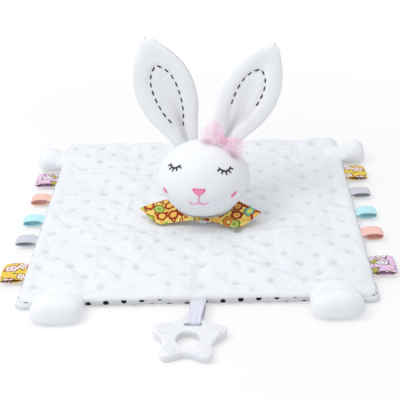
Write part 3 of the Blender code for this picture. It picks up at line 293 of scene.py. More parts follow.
def wound_thread(centre, axes, reaches, turns, pitch, slant, radius):
    """Turns of thread round a gathered middle, given its long, up and front directions."""
    along, up, front = axes
    steps = 32
    bm = bmesh.new()
    for number in range(turns):
        shift = (number - (turns - 1) / 2) * pitch
        points = []
        for k in range(steps + 1):
            turn = 2 * math.pi * k / steps
            points.append(centre + along * (shift + slant * math.sin(turn))
                          + up * (reaches[0] * math.cos(turn)) + front * (reaches[1] * math.sin(turn)))
        tube(bm, points, [radius] * len(points))
    return bm


def add_piece(name, bm, material, slot, body=None, angle=None):
    """Turn a mesh in world places into a named piece that rides on a body."""
    mesh = bpy.data.meshes.new(name)
    bm.to_mesh(mesh)
    bm.free()
    mesh.shade_smooth()
    if angle:
        mesh.set_sharp_from_angle(angle=math.radians(angle))
    mesh.materials.append(material)
    piece = bpy.data.objects.new(name, mesh)
    bpy.context.scene.collection.objects.link(piece)
    if body:
        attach(piece, body)
    return piece


def surface_of(piece):
    """A tree for laying thread on a finished piece."""
    bm = bmesh.new()
    bm.from_mesh(piece.data)
    tree = BVHTree.FromBMesh(bm)
    bm.free()
    return tree


# The wave texture has one band in this many metres at a scale of 1
WAVE_PERIOD = 0.31


# Small helpers for materials
def add_node(tree, kind, sockets=None, **settings):
    """A node with its settings, and its sockets linked or set."""
    node = tree.nodes.new(kind)
    for key, value in settings.items():
        setattr(node, key, value)
    for key, value in (sockets or {}).items():
        if isinstance(value, bpy.types.NodeSocket):
            tree.links.new(value, node.inputs[key])
        else:
            node.inputs[key].default_value = value
    return node


def maths(tree, operation, *values):
    """One sum."""
    node = add_node(tree, "ShaderNodeMath", dict(enumerate(values)), operation=operation)
    return node.outputs[0]


def vector_maths(tree, operation, *values):
    """One vector sum; a length or distance comes back as a number."""
    node = add_node(tree, "ShaderNodeVectorMath", dict(enumerate(values)), operation=operation)
    return node.outputs["Value" if operation in ("LENGTH", "DISTANCE", "DOT_PRODUCT") else "Vector"]


def blend_colour(tree, share, low, high):
    """A mix of two colours."""
    return add_node(tree, "ShaderNodeMix", {0: share, 6: low, 7: high}, data_type="RGBA").outputs[2]


def step_down(tree, value, edge, soft):
    """1 below an edge and 0 above it, with a soft step."""
    node = add_node(tree, "ShaderNodeMapRange", {0: value, 1: edge - soft, 2: edge + soft, 3: 1.0, 4: 0.0})
    return node.outputs[0]


def rgba(colour, gain=1.0):
    """A colour with full alpha."""
    return (*[min(1.0, channel * gain) for channel in colour], 1.0)


def new_material(name, roughness, sheen=0.0, specular=0.5, more=None):
    """A Principled material and its tree; more has values for other sockets of its shader."""
    material = bpy.data.materials.new(name)
    material.use_nodes = True
    tree = material.node_tree
    values = {"Roughness": roughness, "Sheen Weight": sheen, "Sheen Roughness": 0.4,
              "Specular IOR Level": specular}
    for socket, value in {**values, **(more or {})}.items():
        tree.nodes["Principled BSDF"].inputs[socket].default_value = value
    return material, tree


def object_place(tree):
    """Places on the piece, in metres."""
    return tree.nodes.new("ShaderNodeTexCoord").outputs["Object"]


def cloth_share(tree):
    """Places on the flat cloth, from 0 to 1 each way."""
    return add_node(tree, "ShaderNodeUVMap", uv_map="cloth").outputs[0]


def cloth_place(tree, width, length):
    """Places on the flat cloth, in metres."""
    return vector_maths(tree, "MULTIPLY", cloth_share(tree), (width, length, 0.0))


def scaled(tree, place, factor):
    """A place times a number."""
    node = add_node(tree, "ShaderNodeVectorMath", {0: place, "Scale": factor}, operation="SCALE")
    return node.outputs[0]


def split(tree, place):
    """The first two parts of a place."""
    return add_node(tree, "ShaderNodeSeparateXYZ", {0: place}).outputs[:2]


def fleck(tree, place, scale, detail=2.0, rough=0.5):
    """Noise from 0 to 1."""
    return add_node(tree, "ShaderNodeTexNoise",
                    {"Vector": place, "Scale": scale, "Detail": detail, "Roughness": rough}).outputs["Fac"]


def mottled(tree, place, colour, scale, gains, detail=3.0):
    """A colour that wanders in patches between two gains."""
    low, high = [rgba(colour, gain) for gain in gains]
    return blend_colour(tree, fleck(tree, place, scale, detail), low, high)


def bands(tree, place, pitch, distortion=0.0, direction="X"):
    """Soft bands of a pitch in metres, from 0 to 1."""
    sockets = {"Vector": place, "Scale": WAVE_PERIOD / pitch, "Distortion": distortion}
    return add_node(tree, "ShaderNodeTexWave", sockets, bands_direction=direction).outputs["Fac"]


def finished(material, tone, height=None, distance=0.0, strength=1.0):
    """The material with its colour, and with a bump of a real height where one is given."""
    tree = material.node_tree
    shader = tree.nodes["Principled BSDF"]
    tree.links.new(tone, shader.inputs["Base Color"])
    if height is not None:
        sockets = {"Height": height, "Distance": distance, "Strength": strength}
        bump = add_node(tree, "ShaderNodeBump", sockets)
        tree.links.new(bump.outputs[0], shader.inputs["Normal"])
    return material


def ear_shade(tree, fold, dish):
    """How much shade lies in the fold at an ear's root and in its sunken dish."""
    across, along = split(tree, cloth_share(tree))
    off = maths(tree, "ABSOLUTE", maths(tree, "SUBTRACT", across, fold))
    in_fold = maths(tree, "MULTIPLY", step_down(tree, off, 0.015, 0.015), step_down(tree, along, 0.30, 0.16))
    in_dish = maths(tree, "MULTIPLY", step_down(tree, off, 0.055, 0.05), step_down(tree, along, 0.62, 0.20))
    return maths(tree, "ADD", maths(tree, "MULTIPLY", in_fold, 0.95), maths(tree, "MULTIPLY", in_dish, dish))


def pile_material(name, colour, pile, ear=None):
    """Short white pile with hairs and brushed patches, shaded in the dimples or in an ear's fold and dish."""
    material, tree = new_material(name, 0.95, sheen=0.25, specular=0.15)
    place = object_place(tree)
    hairs = fleck(tree, place, 2100.0, 3.0, 0.65)
    tufts = fleck(tree, place, 620.0)
    tone = mottled(tree, place, colour, 42.0, (0.965, 1.02))
    # Painted shade between the hairs: the pile's colour is darker where the hairs' height is low
    painted_hair_shade = maths(tree, "MULTIPLY", maths(tree, "SUBTRACT", 0.62, hairs), 0.35)
    painted_hair_shade = add_node(tree, "ShaderNodeClamp", {0: painted_hair_shade}).outputs[0]
    tone = blend_colour(tree, painted_hair_shade, tone, rgba(colour, 0.80))
    # Painted shade: the colour darkens towards a shaded grey in the quilt's dimples, or in an ear's fold and
    # dish
    if ear:
        shade = ear_shade(tree, *ear)
    else:
        # The foot attribute holds the painted shade in the floor of each dimple
        foot = add_node(tree, "ShaderNodeAttribute", attribute_name="foot").outputs["Fac"]
        shade = maths(tree, "MULTIPLY", maths(tree, "POWER", foot, 1.4), 0.85)
    tone = blend_colour(tree, shade, tone, rgba((colour[0] * 0.74, colour[1] * 0.735, colour[2] * 0.725)))
    height = maths(tree, "ADD", maths(tree, "MULTIPLY", hairs, 0.5), maths(tree, "MULTIPLY", tufts, 0.6))
    return finished(material, tone, height, pile, 0.55)


def woven(tree, place, pitch):
    """Height of a plain weave: warp and weft that pass over each other."""
    ways = [maths(tree, "ABSOLUTE", maths(tree, "SINE", way))
            for way in split(tree, scaled(tree, place, math.pi / pitch))]
    return maths(tree, "MULTIPLY", *ways)


def dotted_cotton(look):
    """White cotton with black printed dots in staggered rows."""
    material, tree = new_material("dotted_cotton", 0.85, sheen=0.08, specular=0.2)
    place = cloth_place(tree, BACK_FLAT, BACK_FLAT)
    turned = add_node(tree, "ShaderNodeMapping", {"Vector": place, "Rotation": (0.0, 0.0, math.radians(4.0))})
    cells = scaled(tree, turned.outputs[0], 1 / look.print_pitch)
    rows = []
    for shift in (0.0, 0.5):
        local = vector_maths(tree, "FRACTION", vector_maths(tree, "ADD", cells, (shift, shift, 0.0)))
        local = vector_maths(tree, "SUBTRACT", local, (0.5, 0.5, 0.0))
        rows.append(vector_maths(tree, "LENGTH", vector_maths(tree, "MULTIPLY", local, (1.0, 1.0, 0.0))))
    wobble = maths(tree, "MULTIPLY", fleck(tree, place, 900.0), 0.035)
    edge = look.print_width / look.print_pitch / 2
    ink = step_down(tree, maths(tree, "ADD", maths(tree, "MINIMUM", *rows), wobble), edge + 0.0175, 0.02)
    threads = woven(tree, place, 0.00042)
    ground = mottled(tree, place, look.cotton, 60.0, (0.95, 1.03))
    # Painted light on the weave: the cotton is a little lighter on the threads' crests than between them
    ground = blend_colour(tree, maths(tree, "MULTIPLY", threads, 0.12), rgba(look.cotton, 0.86), ground)
    return finished(material, blend_colour(tree, ink, ground, rgba(look.ink)), threads, 0.00012, 0.6)


def thread_material(name, colour, pitch=0.0011):
    """Shiny embroidery thread with its twist."""
    material, tree = new_material(name, 0.5, sheen=0.15, specular=0.35)
    turned = add_node(tree, "ShaderNodeMapping", {"Vector": object_place(tree), "Rotation": (0.5, 0.6, 0.7)})
    twist = bands(tree, turned.outputs[0], pitch, 0.6)
    # Painted light and shade: the thread is lighter on the ridges of its twist and darker in their grooves
    tone = blend_colour(tree, twist, rgba(colour, 0.72), rgba(colour, 1.12))
    return finished(material, tone, twist, 0.00010, 0.7)


def chance_colour(tree, chance, palette):
    """One of a few colours, drawn by a number from 0 to 1."""
    ramp = tree.nodes.new("ShaderNodeValToRGB")
    ramp.color_ramp.interpolation = "CONSTANT"
    while len(ramp.color_ramp.elements) < len(palette):
        ramp.color_ramp.elements.new(0.5)
    for k, colour in enumerate(palette):
        ramp.color_ramp.elements[k].position = k / len(palette)
        ramp.color_ramp.elements[k].color = rgba(colour)
    tree.links.new(chance, ramp.inputs[0])
    return ramp.outputs[0]


def satin_stitch(name, colour, threads):
    """Threads laid side by side, with the darker cord that edges the patch."""
    material, tree = new_material(name, 0.45, sheen=0.2, specular=0.4)
    across, along = split(tree, cloth_share(tree))
    rows = maths(tree, "ABSOLUTE", maths(tree, "SINE", maths(tree, "MULTIPLY", across, math.pi * threads)))
    # Painted light and shade: each thread is lighter along its crest and darker where it meets the next
    tone = blend_colour(tree, rows, rgba(colour, 0.80), rgba(colour, 1.15))
    from_side = maths(tree, "MINIMUM", across, maths(tree, "SUBTRACT", 1.0, across))
    from_top = maths(tree, "MULTIPLY", along, 0.9)
    cord = step_down(tree, maths(tree, "MINIMUM", from_side, from_top), 0.13, 0.05)
    tone = blend_colour(tree, maths(tree, "MULTIPLY", cord, 0.75), tone,
                        rgba((colour[0] * 0.80, colour[1] * 0.42, colour[2] * 0.55)))
    return finished(material, tone, rows, 0.00012, 0.7)


def flower_layer(tree, place, under, pitch, petals, seed, palettes, shares, rim=None):
    """Flowers of a few colours strewn over a ground, each with a ring and a heart; gives the colour."""
    moved = vector_maths(tree, "ADD", place, (seed, seed * 0.37, 0.0))
    cells = add_node(tree, "ShaderNodeTexVoronoi", {"Vector": moved, "Scale": 1 / pitch, "Randomness": 0.72},
                     voronoi_dimensions="2D")
    centre = vector_maths(tree, "SUBTRACT", moved, cells.outputs["Position"])
    x, y = split(tree, centre)
    chance = add_node(tree, "ShaderNodeSeparateColor", {0: cells.outputs["Color"]})
    away = vector_maths(tree, "LENGTH", centre)
    lobes = maths(tree, "MULTIPLY", maths(tree, "ARCTAN2", y, x), petals)
    lobes = maths(tree, "COSINE", maths(tree, "ADD", lobes, maths(tree, "MULTIPLY", chance.outputs[0], 6.0)))
    reach = maths(tree, "ADD", maths(tree, "MULTIPLY", lobes, 0.045 * pitch), away)
    soft = 0.02 * pitch
    tone = under
    if rim:
        tone = blend_colour(tree, step_down(tree, reach, (shares[0] + 0.075) * pitch, soft), tone, rgba(rim))
    for share, palette, edge in zip(shares, palettes, (reach, away, away)):
        colour = chance_colour(tree, chance.outputs[1], palette)
        tone = blend_colour(tree, step_down(tree, edge, share * pitch, soft), tone, colour)
    return tone


FLORAL_BROWN = (0.24, 0.03, 0.01)
FLORAL_LEAVES = ((0.30, 0.52, 0.08), (0.52, 0.06, 0.02), (0.86, 0.46, 0.08), (0.34, 0.05, 0.02))
FLORAL_BUDS = ((0.62, 0.72, 0.20), (0.92, 0.70, 0.22), (0.90, 0.66, 0.20), (0.92, 0.70, 0.22))
FLORAL_BLOOMS = ((0.42, 0.035, 0.012), (0.14, 0.60, 0.54), (0.32, 0.54, 0.08), (0.86, 0.34, 0.04),
                 (0.50, 0.05, 0.02))
FLORAL_RINGS = ((0.93, 0.70, 0.30), (0.55, 0.72, 0.10), (0.72, 0.74, 0.24), (0.50, 0.05, 0.02),
                (0.93, 0.60, 0.16))
FLORAL_HEARTS = ((0.90, 0.36, 0.03), (0.90, 0.82, 0.20), (0.26, 0.45, 0.06), (0.94, 0.76, 0.22),
                 (0.92, 0.62, 0.12))


def floral_cotton(ground):
    """Yellow cotton strewn with red, orange, green and turquoise flowers of a plain generic kind."""
    material, tree = new_material("floral_cotton", 0.85, sheen=0.02, specular=0.1)
    place = object_place(tree)
    flat = vector_maths(tree, "MULTIPLY", place, (1.0, 1.15, 0.0))
    tone = mottled(tree, place, ground, 90.0, (0.92, 1.08))
    tone = flower_layer(tree, flat, tone, 0.0056, 2.0, 0.013, (FLORAL_LEAVES, FLORAL_BUDS), (0.34, 0.12))
    tone = flower_layer(tree, flat, tone, 0.0116, 6.0, 0.004, (FLORAL_BLOOMS, FLORAL_RINGS, FLORAL_HEARTS),
                        (0.38, 0.25, 0.17), FLORAL_BROWN)
    threads = woven(tree, place, 0.00045)
    tone = blend_colour(tree, maths(tree, "MULTIPLY", threads, 0.10), tone, (0.1, 0.06, 0.03, 1.0))
    return finished(material, tone, threads, 0.00012, 0.6)


def printed_ribbon(name, ground, petals, dark, specks, pitch):
    """Soft printed ribbon with plain flowers and dots."""
    material, tree = new_material(name, 0.55, sheen=0.1, specular=0.3)
    place = cloth_place(tree, WIDE_TAG, 0.0425)
    tone = mottled(tree, place, ground, 300.0, (0.93, 1.05), 2.0)
    tone = flower_layer(tree, place, tone, pitch * 0.42, 1.0, 0.017, (specks, (dark,)), (0.20, 0.07))
    tone = flower_layer(tree, place, tone, pitch, 5.0, 0.004, (petals, (dark,), petals),
                        (0.27, 0.15, 0.10), dark)
    return finished(material, tone, bands(tree, place, 0.0005, direction="Y"), 0.00006, 0.5)


def satin_ribbon(name, colour, width, length, roughness=0.36):
    """Satin ribbon: fine cross ribs, a soft shine and a corded edge."""
    material, tree = new_material(name, roughness, sheen=0.2, more={"Anisotropic": 0.5})
    place = cloth_place(tree, width, length)
    across = split(tree, place)[0]
    ribs = bands(tree, place, 0.00045, 0.3, "Y")
    from_edge = maths(tree, "MINIMUM", across, maths(tree, "SUBTRACT", width, across))
    cord = step_down(tree, from_edge, 0.0007, 0.00015)
    tone = mottled(tree, place, colour, 240.0, (0.90, 1.08))
    tone = blend_colour(tree, maths(tree, "MULTIPLY", cord, 0.5), tone, rgba(colour, 0.72))
    tone = blend_colour(tree, maths(tree, "MULTIPLY", ribs, 0.12), tone, rgba(colour, 0.80))
    height = maths(tree, "ADD", maths(tree, "MULTIPLY", ribs, 0.25), cord)
    return finished(material, tone, height, 0.00014, 0.6)


def net_material(colour):
    """Tulle: fine threads round open holes, thinner towards its free ends, light coming through its holes,
    and a faint painted glow for the light scattered between its layers.
    """
    # Painted light: a faint pink glow stands in for the light that the net's layers scatter onto each other
    glow = {"Emission Color": (1.0, 0.86, 0.92, 1.0), "Emission Strength": 0.12}
    material, tree = new_material("tulle", 0.7, sheen=1.0, specular=0.1, more=glow)
    place = cloth_place(tree, NET_WIDTH, 0.05)
    cells = add_node(tree, "ShaderNodeTexVoronoi", {"Vector": place, "Scale": 1 / 0.0012, "Randomness": 0.2},
                     voronoi_dimensions="2D", feature="DISTANCE_TO_EDGE").outputs["Distance"]
    thread = step_down(tree, cells, 0.16, 0.05)
    haze = fleck(tree, place, 200.0)
    along = split(tree, cloth_share(tree))[1]
    out = maths(tree, "ABSOLUTE", maths(tree, "SUBTRACT", along, 0.5))
    dense = add_node(tree, "ShaderNodeMapRange", {0: out, 1: 0.06, 2: 0.5, 3: 1.15, 4: 0.30}).outputs[0]
    cover = maths(tree, "ADD", maths(tree, "MULTIPLY", thread, 0.20), maths(tree, "MULTIPLY", haze, 0.29))
    alpha = tree.nodes["Principled BSDF"].inputs["Alpha"]
    tree.links.new(maths(tree, "MULTIPLY", cover, dense), alpha)
    return finished(material, blend_colour(tree, haze, rgba(colour, 0.95), rgba(colour, 1.04)))


def silicone_material(colour):
    """Milky moulded silicone with a faint satin skin."""
    milk = {"Subsurface Weight": 0.6, "Subsurface Radius": (1.0, 0.9, 0.8), "Subsurface Scale": 0.004}
    material, tree = new_material("silicone", 0.42, specular=0.4, more=milk)
    place = object_place(tree)
    cloud = fleck(tree, place, 120.0, 3.0)
    rough = maths(tree, "ADD", maths(tree, "MULTIPLY", cloud, 0.14), 0.36)
    tree.links.new(rough, tree.nodes["Principled BSDF"].inputs["Roughness"])
    tone = blend_colour(tree, cloud, rgba(colour, 0.97), rgba(colour, 1.02))
    return finished(material, tone, fleck(tree, place, 2600.0), 0.00004, 0.4)


# The quilt
BACK_FLAT = 0.294
BACK_CLOTH = 0.0006
BACK_CELLS = 96
BACK_EDGE_CELLS = 10
BACK_SEAM = 0.015
EDGE_ROUND = 0.0085
EDGE_LIFT = 0.14
CREASE_DEPTH = 0.0021
CREASE_WIDTH = 0.013
RIPPLE_HEIGHT = 0.0014
RIPPLE_LENGTH = 0.085
SMALL_RIPPLE_SHARE = 0.45
SMALL_RIPPLE_LENGTH = 0.042
CLOTH_FRAMES = 20
SAG_LIMIT = 0.0012
DIMPLE_START = Vector((-0.0617, -0.0815))
# Each fold pressed into the cloth, from one place to another, in shares of half the square
CREASES = ((0.23, -0.42, 0.53, -0.74), (0.53, -0.74, 0.74, -0.85), (0.25, -0.575, 0.585, -0.81),
           (-0.85, -0.88, -0.51, -0.895), (0.014, -0.37, 0.014, -0.985), (-0.66, -0.08, -0.37, -0.19),
           (0.44, -0.27, 0.63, -0.23))
# Rings under the plush's edge: how far in and how high, along the sides and then at the front corners
RIM_RINGS = ((0.0006, 0.0046, -0.0016, 0.0044), (0.0030, 0.0020, -0.0008, 0.0012),
             (0.0080, 0.0013, 0.0060, 0.0006))
# The back cloth's edge, from the seam inwards: a share of its way, how far in and how high
BACK_PROFILE = ((0.0, 0.0001, SEAM_HEIGHT + 0.0004), (0.10, -0.0002, 0.0044), (0.28, 0.0005, 0.0022),
                (0.50, 0.0022, 0.0008), (0.75, 0.0050, 0.0002), (1.0, 0.0080, 0.0))


def wander(x, y, scale, layer):
    """Smooth noise over a flat place, with a pattern of its own in each layer."""
    return noise.noise(Vector((x * scale, y * scale, layer)))


def edge_sway(x, y):
    """How far the sewn edge wanders from a straight line."""
    return 0.0007 * wander(x, y, 38, 3.1) + 0.0008 * wander(x, y, 80, 7.3) - 0.0002


def swayed(x, y):
    """A place on the edge, moved out or in by the edge's wandering."""
    length = math.hypot(x, y)
    x += x / length * edge_sway(x, y)
    return x, y + y / length * edge_sway(x, y)


def past_core(x, y):
    """How far a place lies past the inner square from which the corners are rounded."""
    core = HALF_SIDE - CORNER_ROUND
    return Vector((max(0.0, abs(x) - core), max(0.0, abs(y) - core)))


def square_place(a, b):
    """A place on the square, given by two numbers from -1 to 1, with its corners rounded."""
    x = a * HALF_SIDE
    y = b * HALF_SIDE
    over = past_core(x, y)
    if min(over) > 0:
        over *= max(over) / over.length
        x = math.copysign(HALF_SIDE - CORNER_ROUND + over.x, x)
        y = math.copysign(HALF_SIDE - CORNER_ROUND + over.y, y)
    return x, y


def edge_distance(x, y):
    """How far a place lies in from the sewn edge."""
    over = past_core(x, y)
    inside = CORNER_ROUND - over.length
    if over.length == 0:
        inside = min(HALF_SIDE - abs(x), HALF_SIDE - abs(y))
    return max(0.0, inside)


def head_distance(x, y):
    """How far a place on the quilt lies from the point below the head's middle."""
    return math.hypot(x - HEAD_CENTRE.x, y - HEAD_CENTRE.y)


def dimple_share(look, x, y):
    """Depth share of the nearest of the staggered dimples."""
    x += 0.0012 * math.sin(y * 47) - DIMPLE_START.x
    y += 0.0010 * math.sin(x * 39) - DIMPLE_START.y
    row = round(y / look.dimple_rows)
    best = 1.0
    for k in (row - 1, row, row + 1):
        shift = 0.5 * (k % 2)
        column = round(x / look.dimple_pitch - shift)
        away = math.hypot(x - (column + shift) * look.dimple_pitch, y - k * look.dimple_rows)
        chance = 0.5 + noise.noise(Vector((column * 1.7 + shift, k * 2.3, 4.0)))
        best = min(best, 2 * away / look.dimple_width + 0.45 * max(0.0, min(1.0, chance)) ** 2)
    return smooth(1 - best)


def crease_sink(x, y):
    """How far the folds pressed into the blanket sink its top, with a soft roll beside each fold."""
    sunk = 0.0
    for start_x, start_y, end_x, end_y in CREASES:
        start = Vector((start_x, start_y)) * HALF_SIDE
        along = Vector((end_x, end_y)) * HALF_SIDE - start
        away = Vector((x, y)) - start
        part = min(1.0, max(0.0, away.dot(along) / along.length_squared))
        near = (away - along * part).length
        deep = 0.55 * smooth(1 - near / CREASE_WIDTH)
        deep += 0.75 * bell(near, 0.0052) * math.sin(math.pi * part) ** 0.5
        deep -= 0.30 * bell(near - 0.0095, 0.004)
        sunk = max(sunk, deep)
    return CREASE_DEPTH * sunk


def field_height(x, y):
    """The quilt's upper surface without its dimples: soft ripples, folds and the head's seat."""
    wave = 2 * math.pi / RIPPLE_LENGTH
    ripple = math.sin(wave * (x + 0.35 * y)) * math.cos(wave * 0.8 * (y - 0.2 * x))
    wave = 2 * math.pi / SMALL_RIPPLE_LENGTH
    small = math.sin(wave * (x - 0.8 * y)) * math.sin(wave * (y + 0.5 * x))
    ripple += (small - ripple) * SMALL_RIPPLE_SHARE
    crown = CROWN + RIPPLE_HEIGHT * (ripple - 1) / 2 - crease_sink(x, y)
    from_seat = max(abs(x - HEAD_CENTRE.x) - SEAT_WIDTH / 2, abs(y - HEAD_CENTRE.y) - SEAT_LENGTH / 2)
    return SEAT_HEIGHT + (crown - SEAT_HEIGHT) * smooth(from_seat / SEAT_FALL)


def quilt_sway():
    """Heights that the top cloth takes up when it is a little larger than the square it is sewn to."""

    def place(across, along):
        x, y = square_place(2 * across - 1, 2 * along - 1)
        return Vector((x, y, 0.0008 * wander(x, y, 30, 5.0)))

    bm = cloth_grid(56, 56, place)
    mesh = bpy.data.meshes.new("loose_cloth")
    bm.to_mesh(mesh)
    bm.free()
    loose = bpy.data.objects.new("loose_cloth", mesh)
    bpy.context.scene.collection.objects.link(loose)
    held = loose.vertex_groups.new(name="sewn")
    for vert in mesh.vertices:
        x, y = vert.co.xy
        if edge_distance(x, y) < 0.004 or head_distance(x, y) < SEAT_FALL:
            held.add([vert.index], 1.0, "REPLACE")
    cloth = loose.modifiers.new("loose", "CLOTH")
    cloth.settings.quality = 6
    cloth.settings.mass = 0.02
    cloth.settings.bending_stiffness = 0.02
    cloth.settings.tension_stiffness = 8.0
    cloth.settings.compression_stiffness = 8.0
    cloth.settings.shrink_min = -0.012
    cloth.settings.vertex_group_mass = held.name
    cloth.settings.effector_weights.gravity = 0.0
    cloth.collision_settings.use_collision = False
    for number in range(1, CLOTH_FRAMES + 1):
        bpy.context.scene.frame_set(number)
    settled = loose.evaluated_get(bpy.context.evaluated_depsgraph_get())
    moved = settled.to_mesh()
    tree = BVHTree.FromPolygons([vert.co.copy() for vert in moved.vertices],
                                [tuple(face.vertices) for face in moved.polygons])
    settled.to_mesh_clear()
    bpy.data.objects.remove(loose)
    bpy.context.scene.frame_set(1)
    return tree


def top_height(look, sway, x, y):
    """Height of the plush over a place, and the share of a dimple's depth there."""
    inside = edge_distance(x, y)
    away = head_distance(x, y)
    off_head = smooth((away - 0.020) / 0.015)
    field = field_height(x, y)
    if sway:
        hit = sway.ray_cast(Vector((x, y, 0.1)), -Z_UP)[0]
        lift = max(-SAG_LIMIT, min(SAG_LIMIT, hit.z)) if hit else 0.0
        field += lift * smooth(inside / 0.012) * off_head
    back_roll = bell(HALF_SIDE - y - 0.007, 0.011) * smooth((inside - 0.0005) / 0.006)
    field += back_roll * (0.0026 + 0.0016 * noise.noise(Vector((x * 22, 2.0, 8.0))))
    puff = wander(x, y, 75, 6.0) + 0.5 * wander(x, y, 150, 9.0)
    field += look.puff * puff * smooth(inside / 0.005) * off_head
    field += 0.0003 * wander(x, y, 150, 1.0) * bell(inside - 0.005, 0.005)
    dimple = dimple_share(look, x, y) * smooth((inside - 0.003) / 0.005) * smooth((away - 0.022) / 0.01)
    share = min(1.0, inside / EDGE_ROUND)
    rise = EDGE_LIFT + (1 - EDGE_LIFT) * math.sqrt(max(0.0, 1 - (1 - share) ** 2))
    z = SEAM_HEIGHT + (field - SEAM_HEIGHT) * rise - look.dimple_depth * dimple
    return max(SEAM_HEIGHT + 0.0004, z) if inside > 0 else SEAM_HEIGHT + 0.0005, dimple


def build_top(look):
    """The plush top with its filling, its rim rolled under to the back cloth."""
    sway = quilt_sway()

    def place(across, along):
        x, y = square_place(2 * across - 1, 2 * along - 1)
        z = top_height(look, sway, x, y)[0]
        if edge_distance(x, y) < 1e-6:
            x, y = swayed(x, y)
        return Vector((x, y, z))

    bm = cloth_grid(look.cells, look.cells, place)
    rim = [edge for edge in bm.edges if edge.is_boundary]
    for step_in, level, corner_in, corner_level in RIM_RINGS:
        grown = bmesh.ops.extrude_edge_only(bm, edges=rim)["geom"]
        rim = [item for item in grown if isinstance(item, bmesh.types.BMEdge) and item.is_boundary]
        for vert in {vert for edge in rim for vert in edge.verts}:
            lobe = smooth((min(abs(vert.co.x), -vert.co.y) / HALF_SIDE - 0.80) / 0.12)
            share = 1 - (step_in + (corner_in - step_in) * lobe) / HALF_SIDE
            vert.co = (vert.co.x * share, vert.co.y * share, level + (corner_level - level) * lobe)
    # Painted shade for the dimples' floors: each point keeps its share of a dimple's depth as the foot
    # attribute, which darkens the plush
    foot = bm.verts.layers.float.new("foot")
    for vert in bm.verts:
        vert[foot] = top_height(look, sway, vert.co.x, vert.co.y)[1]
    top = add_piece("quilt_top", cap_rims(bm), pile_material("plush", look.plush, 0.0009), "plush", "blanket")
    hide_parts("blanket_top", "blanket_wadding")


def back_line(share):
    """Where a grid line of the back cloth lies: its place, its height and its place on the flat cloth."""
    at = share * BACK_CELLS
    side = -1 if at < BACK_CELLS / 2 else 1
    from_edge = min(at, BACK_CELLS - at)
    if from_edge <= BACK_EDGE_CELLS:
        inset, height = curve_at(BACK_PROFILE, from_edge / BACK_EDGE_CELLS)
        flat = side * (BACK_FLAT / 2 - BACK_SEAM * from_edge / BACK_EDGE_CELLS)
        return side * (HALF_SIDE - inset), height, flat
    inner = HALF_SIDE - BACK_PROFILE[-1][1]
    part = (at - BACK_EDGE_CELLS) / (BACK_CELLS - 2 * BACK_EDGE_CELLS)
    return -inner + 2 * inner * part, 0.0, (part * 2 - 1) * (BACK_FLAT / 2 - BACK_SEAM)


def build_back(look):
    """The dotted cotton back, turned up into the seam all round."""

    def place(across, along):
        x, height_x = back_line(across)[:2]
        y, height_y = back_line(along)[:2]
        spot = square_place(x / HALF_SIDE, y / HALF_SIDE)
        if max(abs(x), abs(y)) > HALF_SIDE - 0.003:
            spot = swayed(*spot)
        return Vector((*spot, max(height_x, height_y) + BACK_CLOTH / 2))

    bm = cloth_grid(BACK_CELLS, BACK_CELLS, place)
    layer = bm.loops.layers.uv["cloth"]
    for face in bm.faces:
        for loop in face.loops:
            loop[layer].uv = [back_line(round(value * BACK_CELLS) / BACK_CELLS)[2] / BACK_FLAT + 0.5
                              for value in loop[layer].uv]
    walled(bm, BACK_CLOTH)
    back = add_piece("quilt_back", bm, dotted_cotton(look), "dotted_cotton", "blanket", 60)
    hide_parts("blanket_back")


# The head
FACE_TURN = -6.0
FACE_ROLL = 3.0
# The neck's gathered disc, from its foot to its top: a share of its way, its radius and its height
NECK_ROWS = ((0.0, 0.0, 0.0), (0.30, 0.85, 0.0), (0.45, 1.0, 0.25), (0.62, 1.0, 0.7), (0.75, 0.8, 1.0),
             (1.0, 0.0, 1.0))


def head_unit(across, up):
    """A direction from the head's middle: angles across and up from the nose's meridian."""
    side = math.radians(across)
    level = math.radians(up)
    unit = Vector((math.sin(side) * math.cos(level), -math.cos(side) * math.cos(level), math.sin(level)))
    unit.rotate(Matrix.Rotation(math.radians(FACE_ROLL), 3, "Y"))
    unit.rotate(Matrix.Rotation(math.radians(FACE_TURN), 3, "Z"))
    return unit


def crown_place(out, back, lift):
    """A place on the upper head: angles out to the side and back from straight up, and a height above it."""
    out = math.radians(out)
    back = math.radians(back)
    unit = Vector((math.sin(out), math.cos(out) * math.sin(back), math.cos(out) * math.cos(back)))
    normal = Vector((unit.x / HEAD_AXES.x, unit.y / HEAD_AXES.y, unit.z / HEAD_AXES.z)).normalized()
    return HEAD_CENTRE + unit * HEAD_AXES + normal * lift


def head_taper(angle):
    """The head's size as a share of its ellipsoid's, at an angle above its middle: it narrows below."""
    return 1 - HEAD_TAPER * smooth((HEAD_TAPER_FROM - angle) / HEAD_TAPER_SPAN)


def clear_of_head(point, gap):
    """Move a point out of the space that the nodding head sweeps, grown by a gap."""
    away = point - HEAD_CENTRE
    angle = math.degrees(math.asin(away.z / away.length))
    size = HEAD_AXES * head_taper(angle + HEAD_SWING) + Vector((gap, gap, gap))
    reach = math.sqrt(sum((away[k] / size[k]) ** 2 for k in range(3)))
    return point if reach >= 1 else HEAD_CENTRE + away / reach


def head_underside(radius):
    """Height of the head's lower surface over a circle round its middle, where it is lowest."""
    narrow = HEAD_AXES * (1 - HEAD_TAPER)
    return HEAD_CENTRE.z - narrow.z * math.sqrt(max(0.0, 1 - (radius / narrow.y) ** 2))


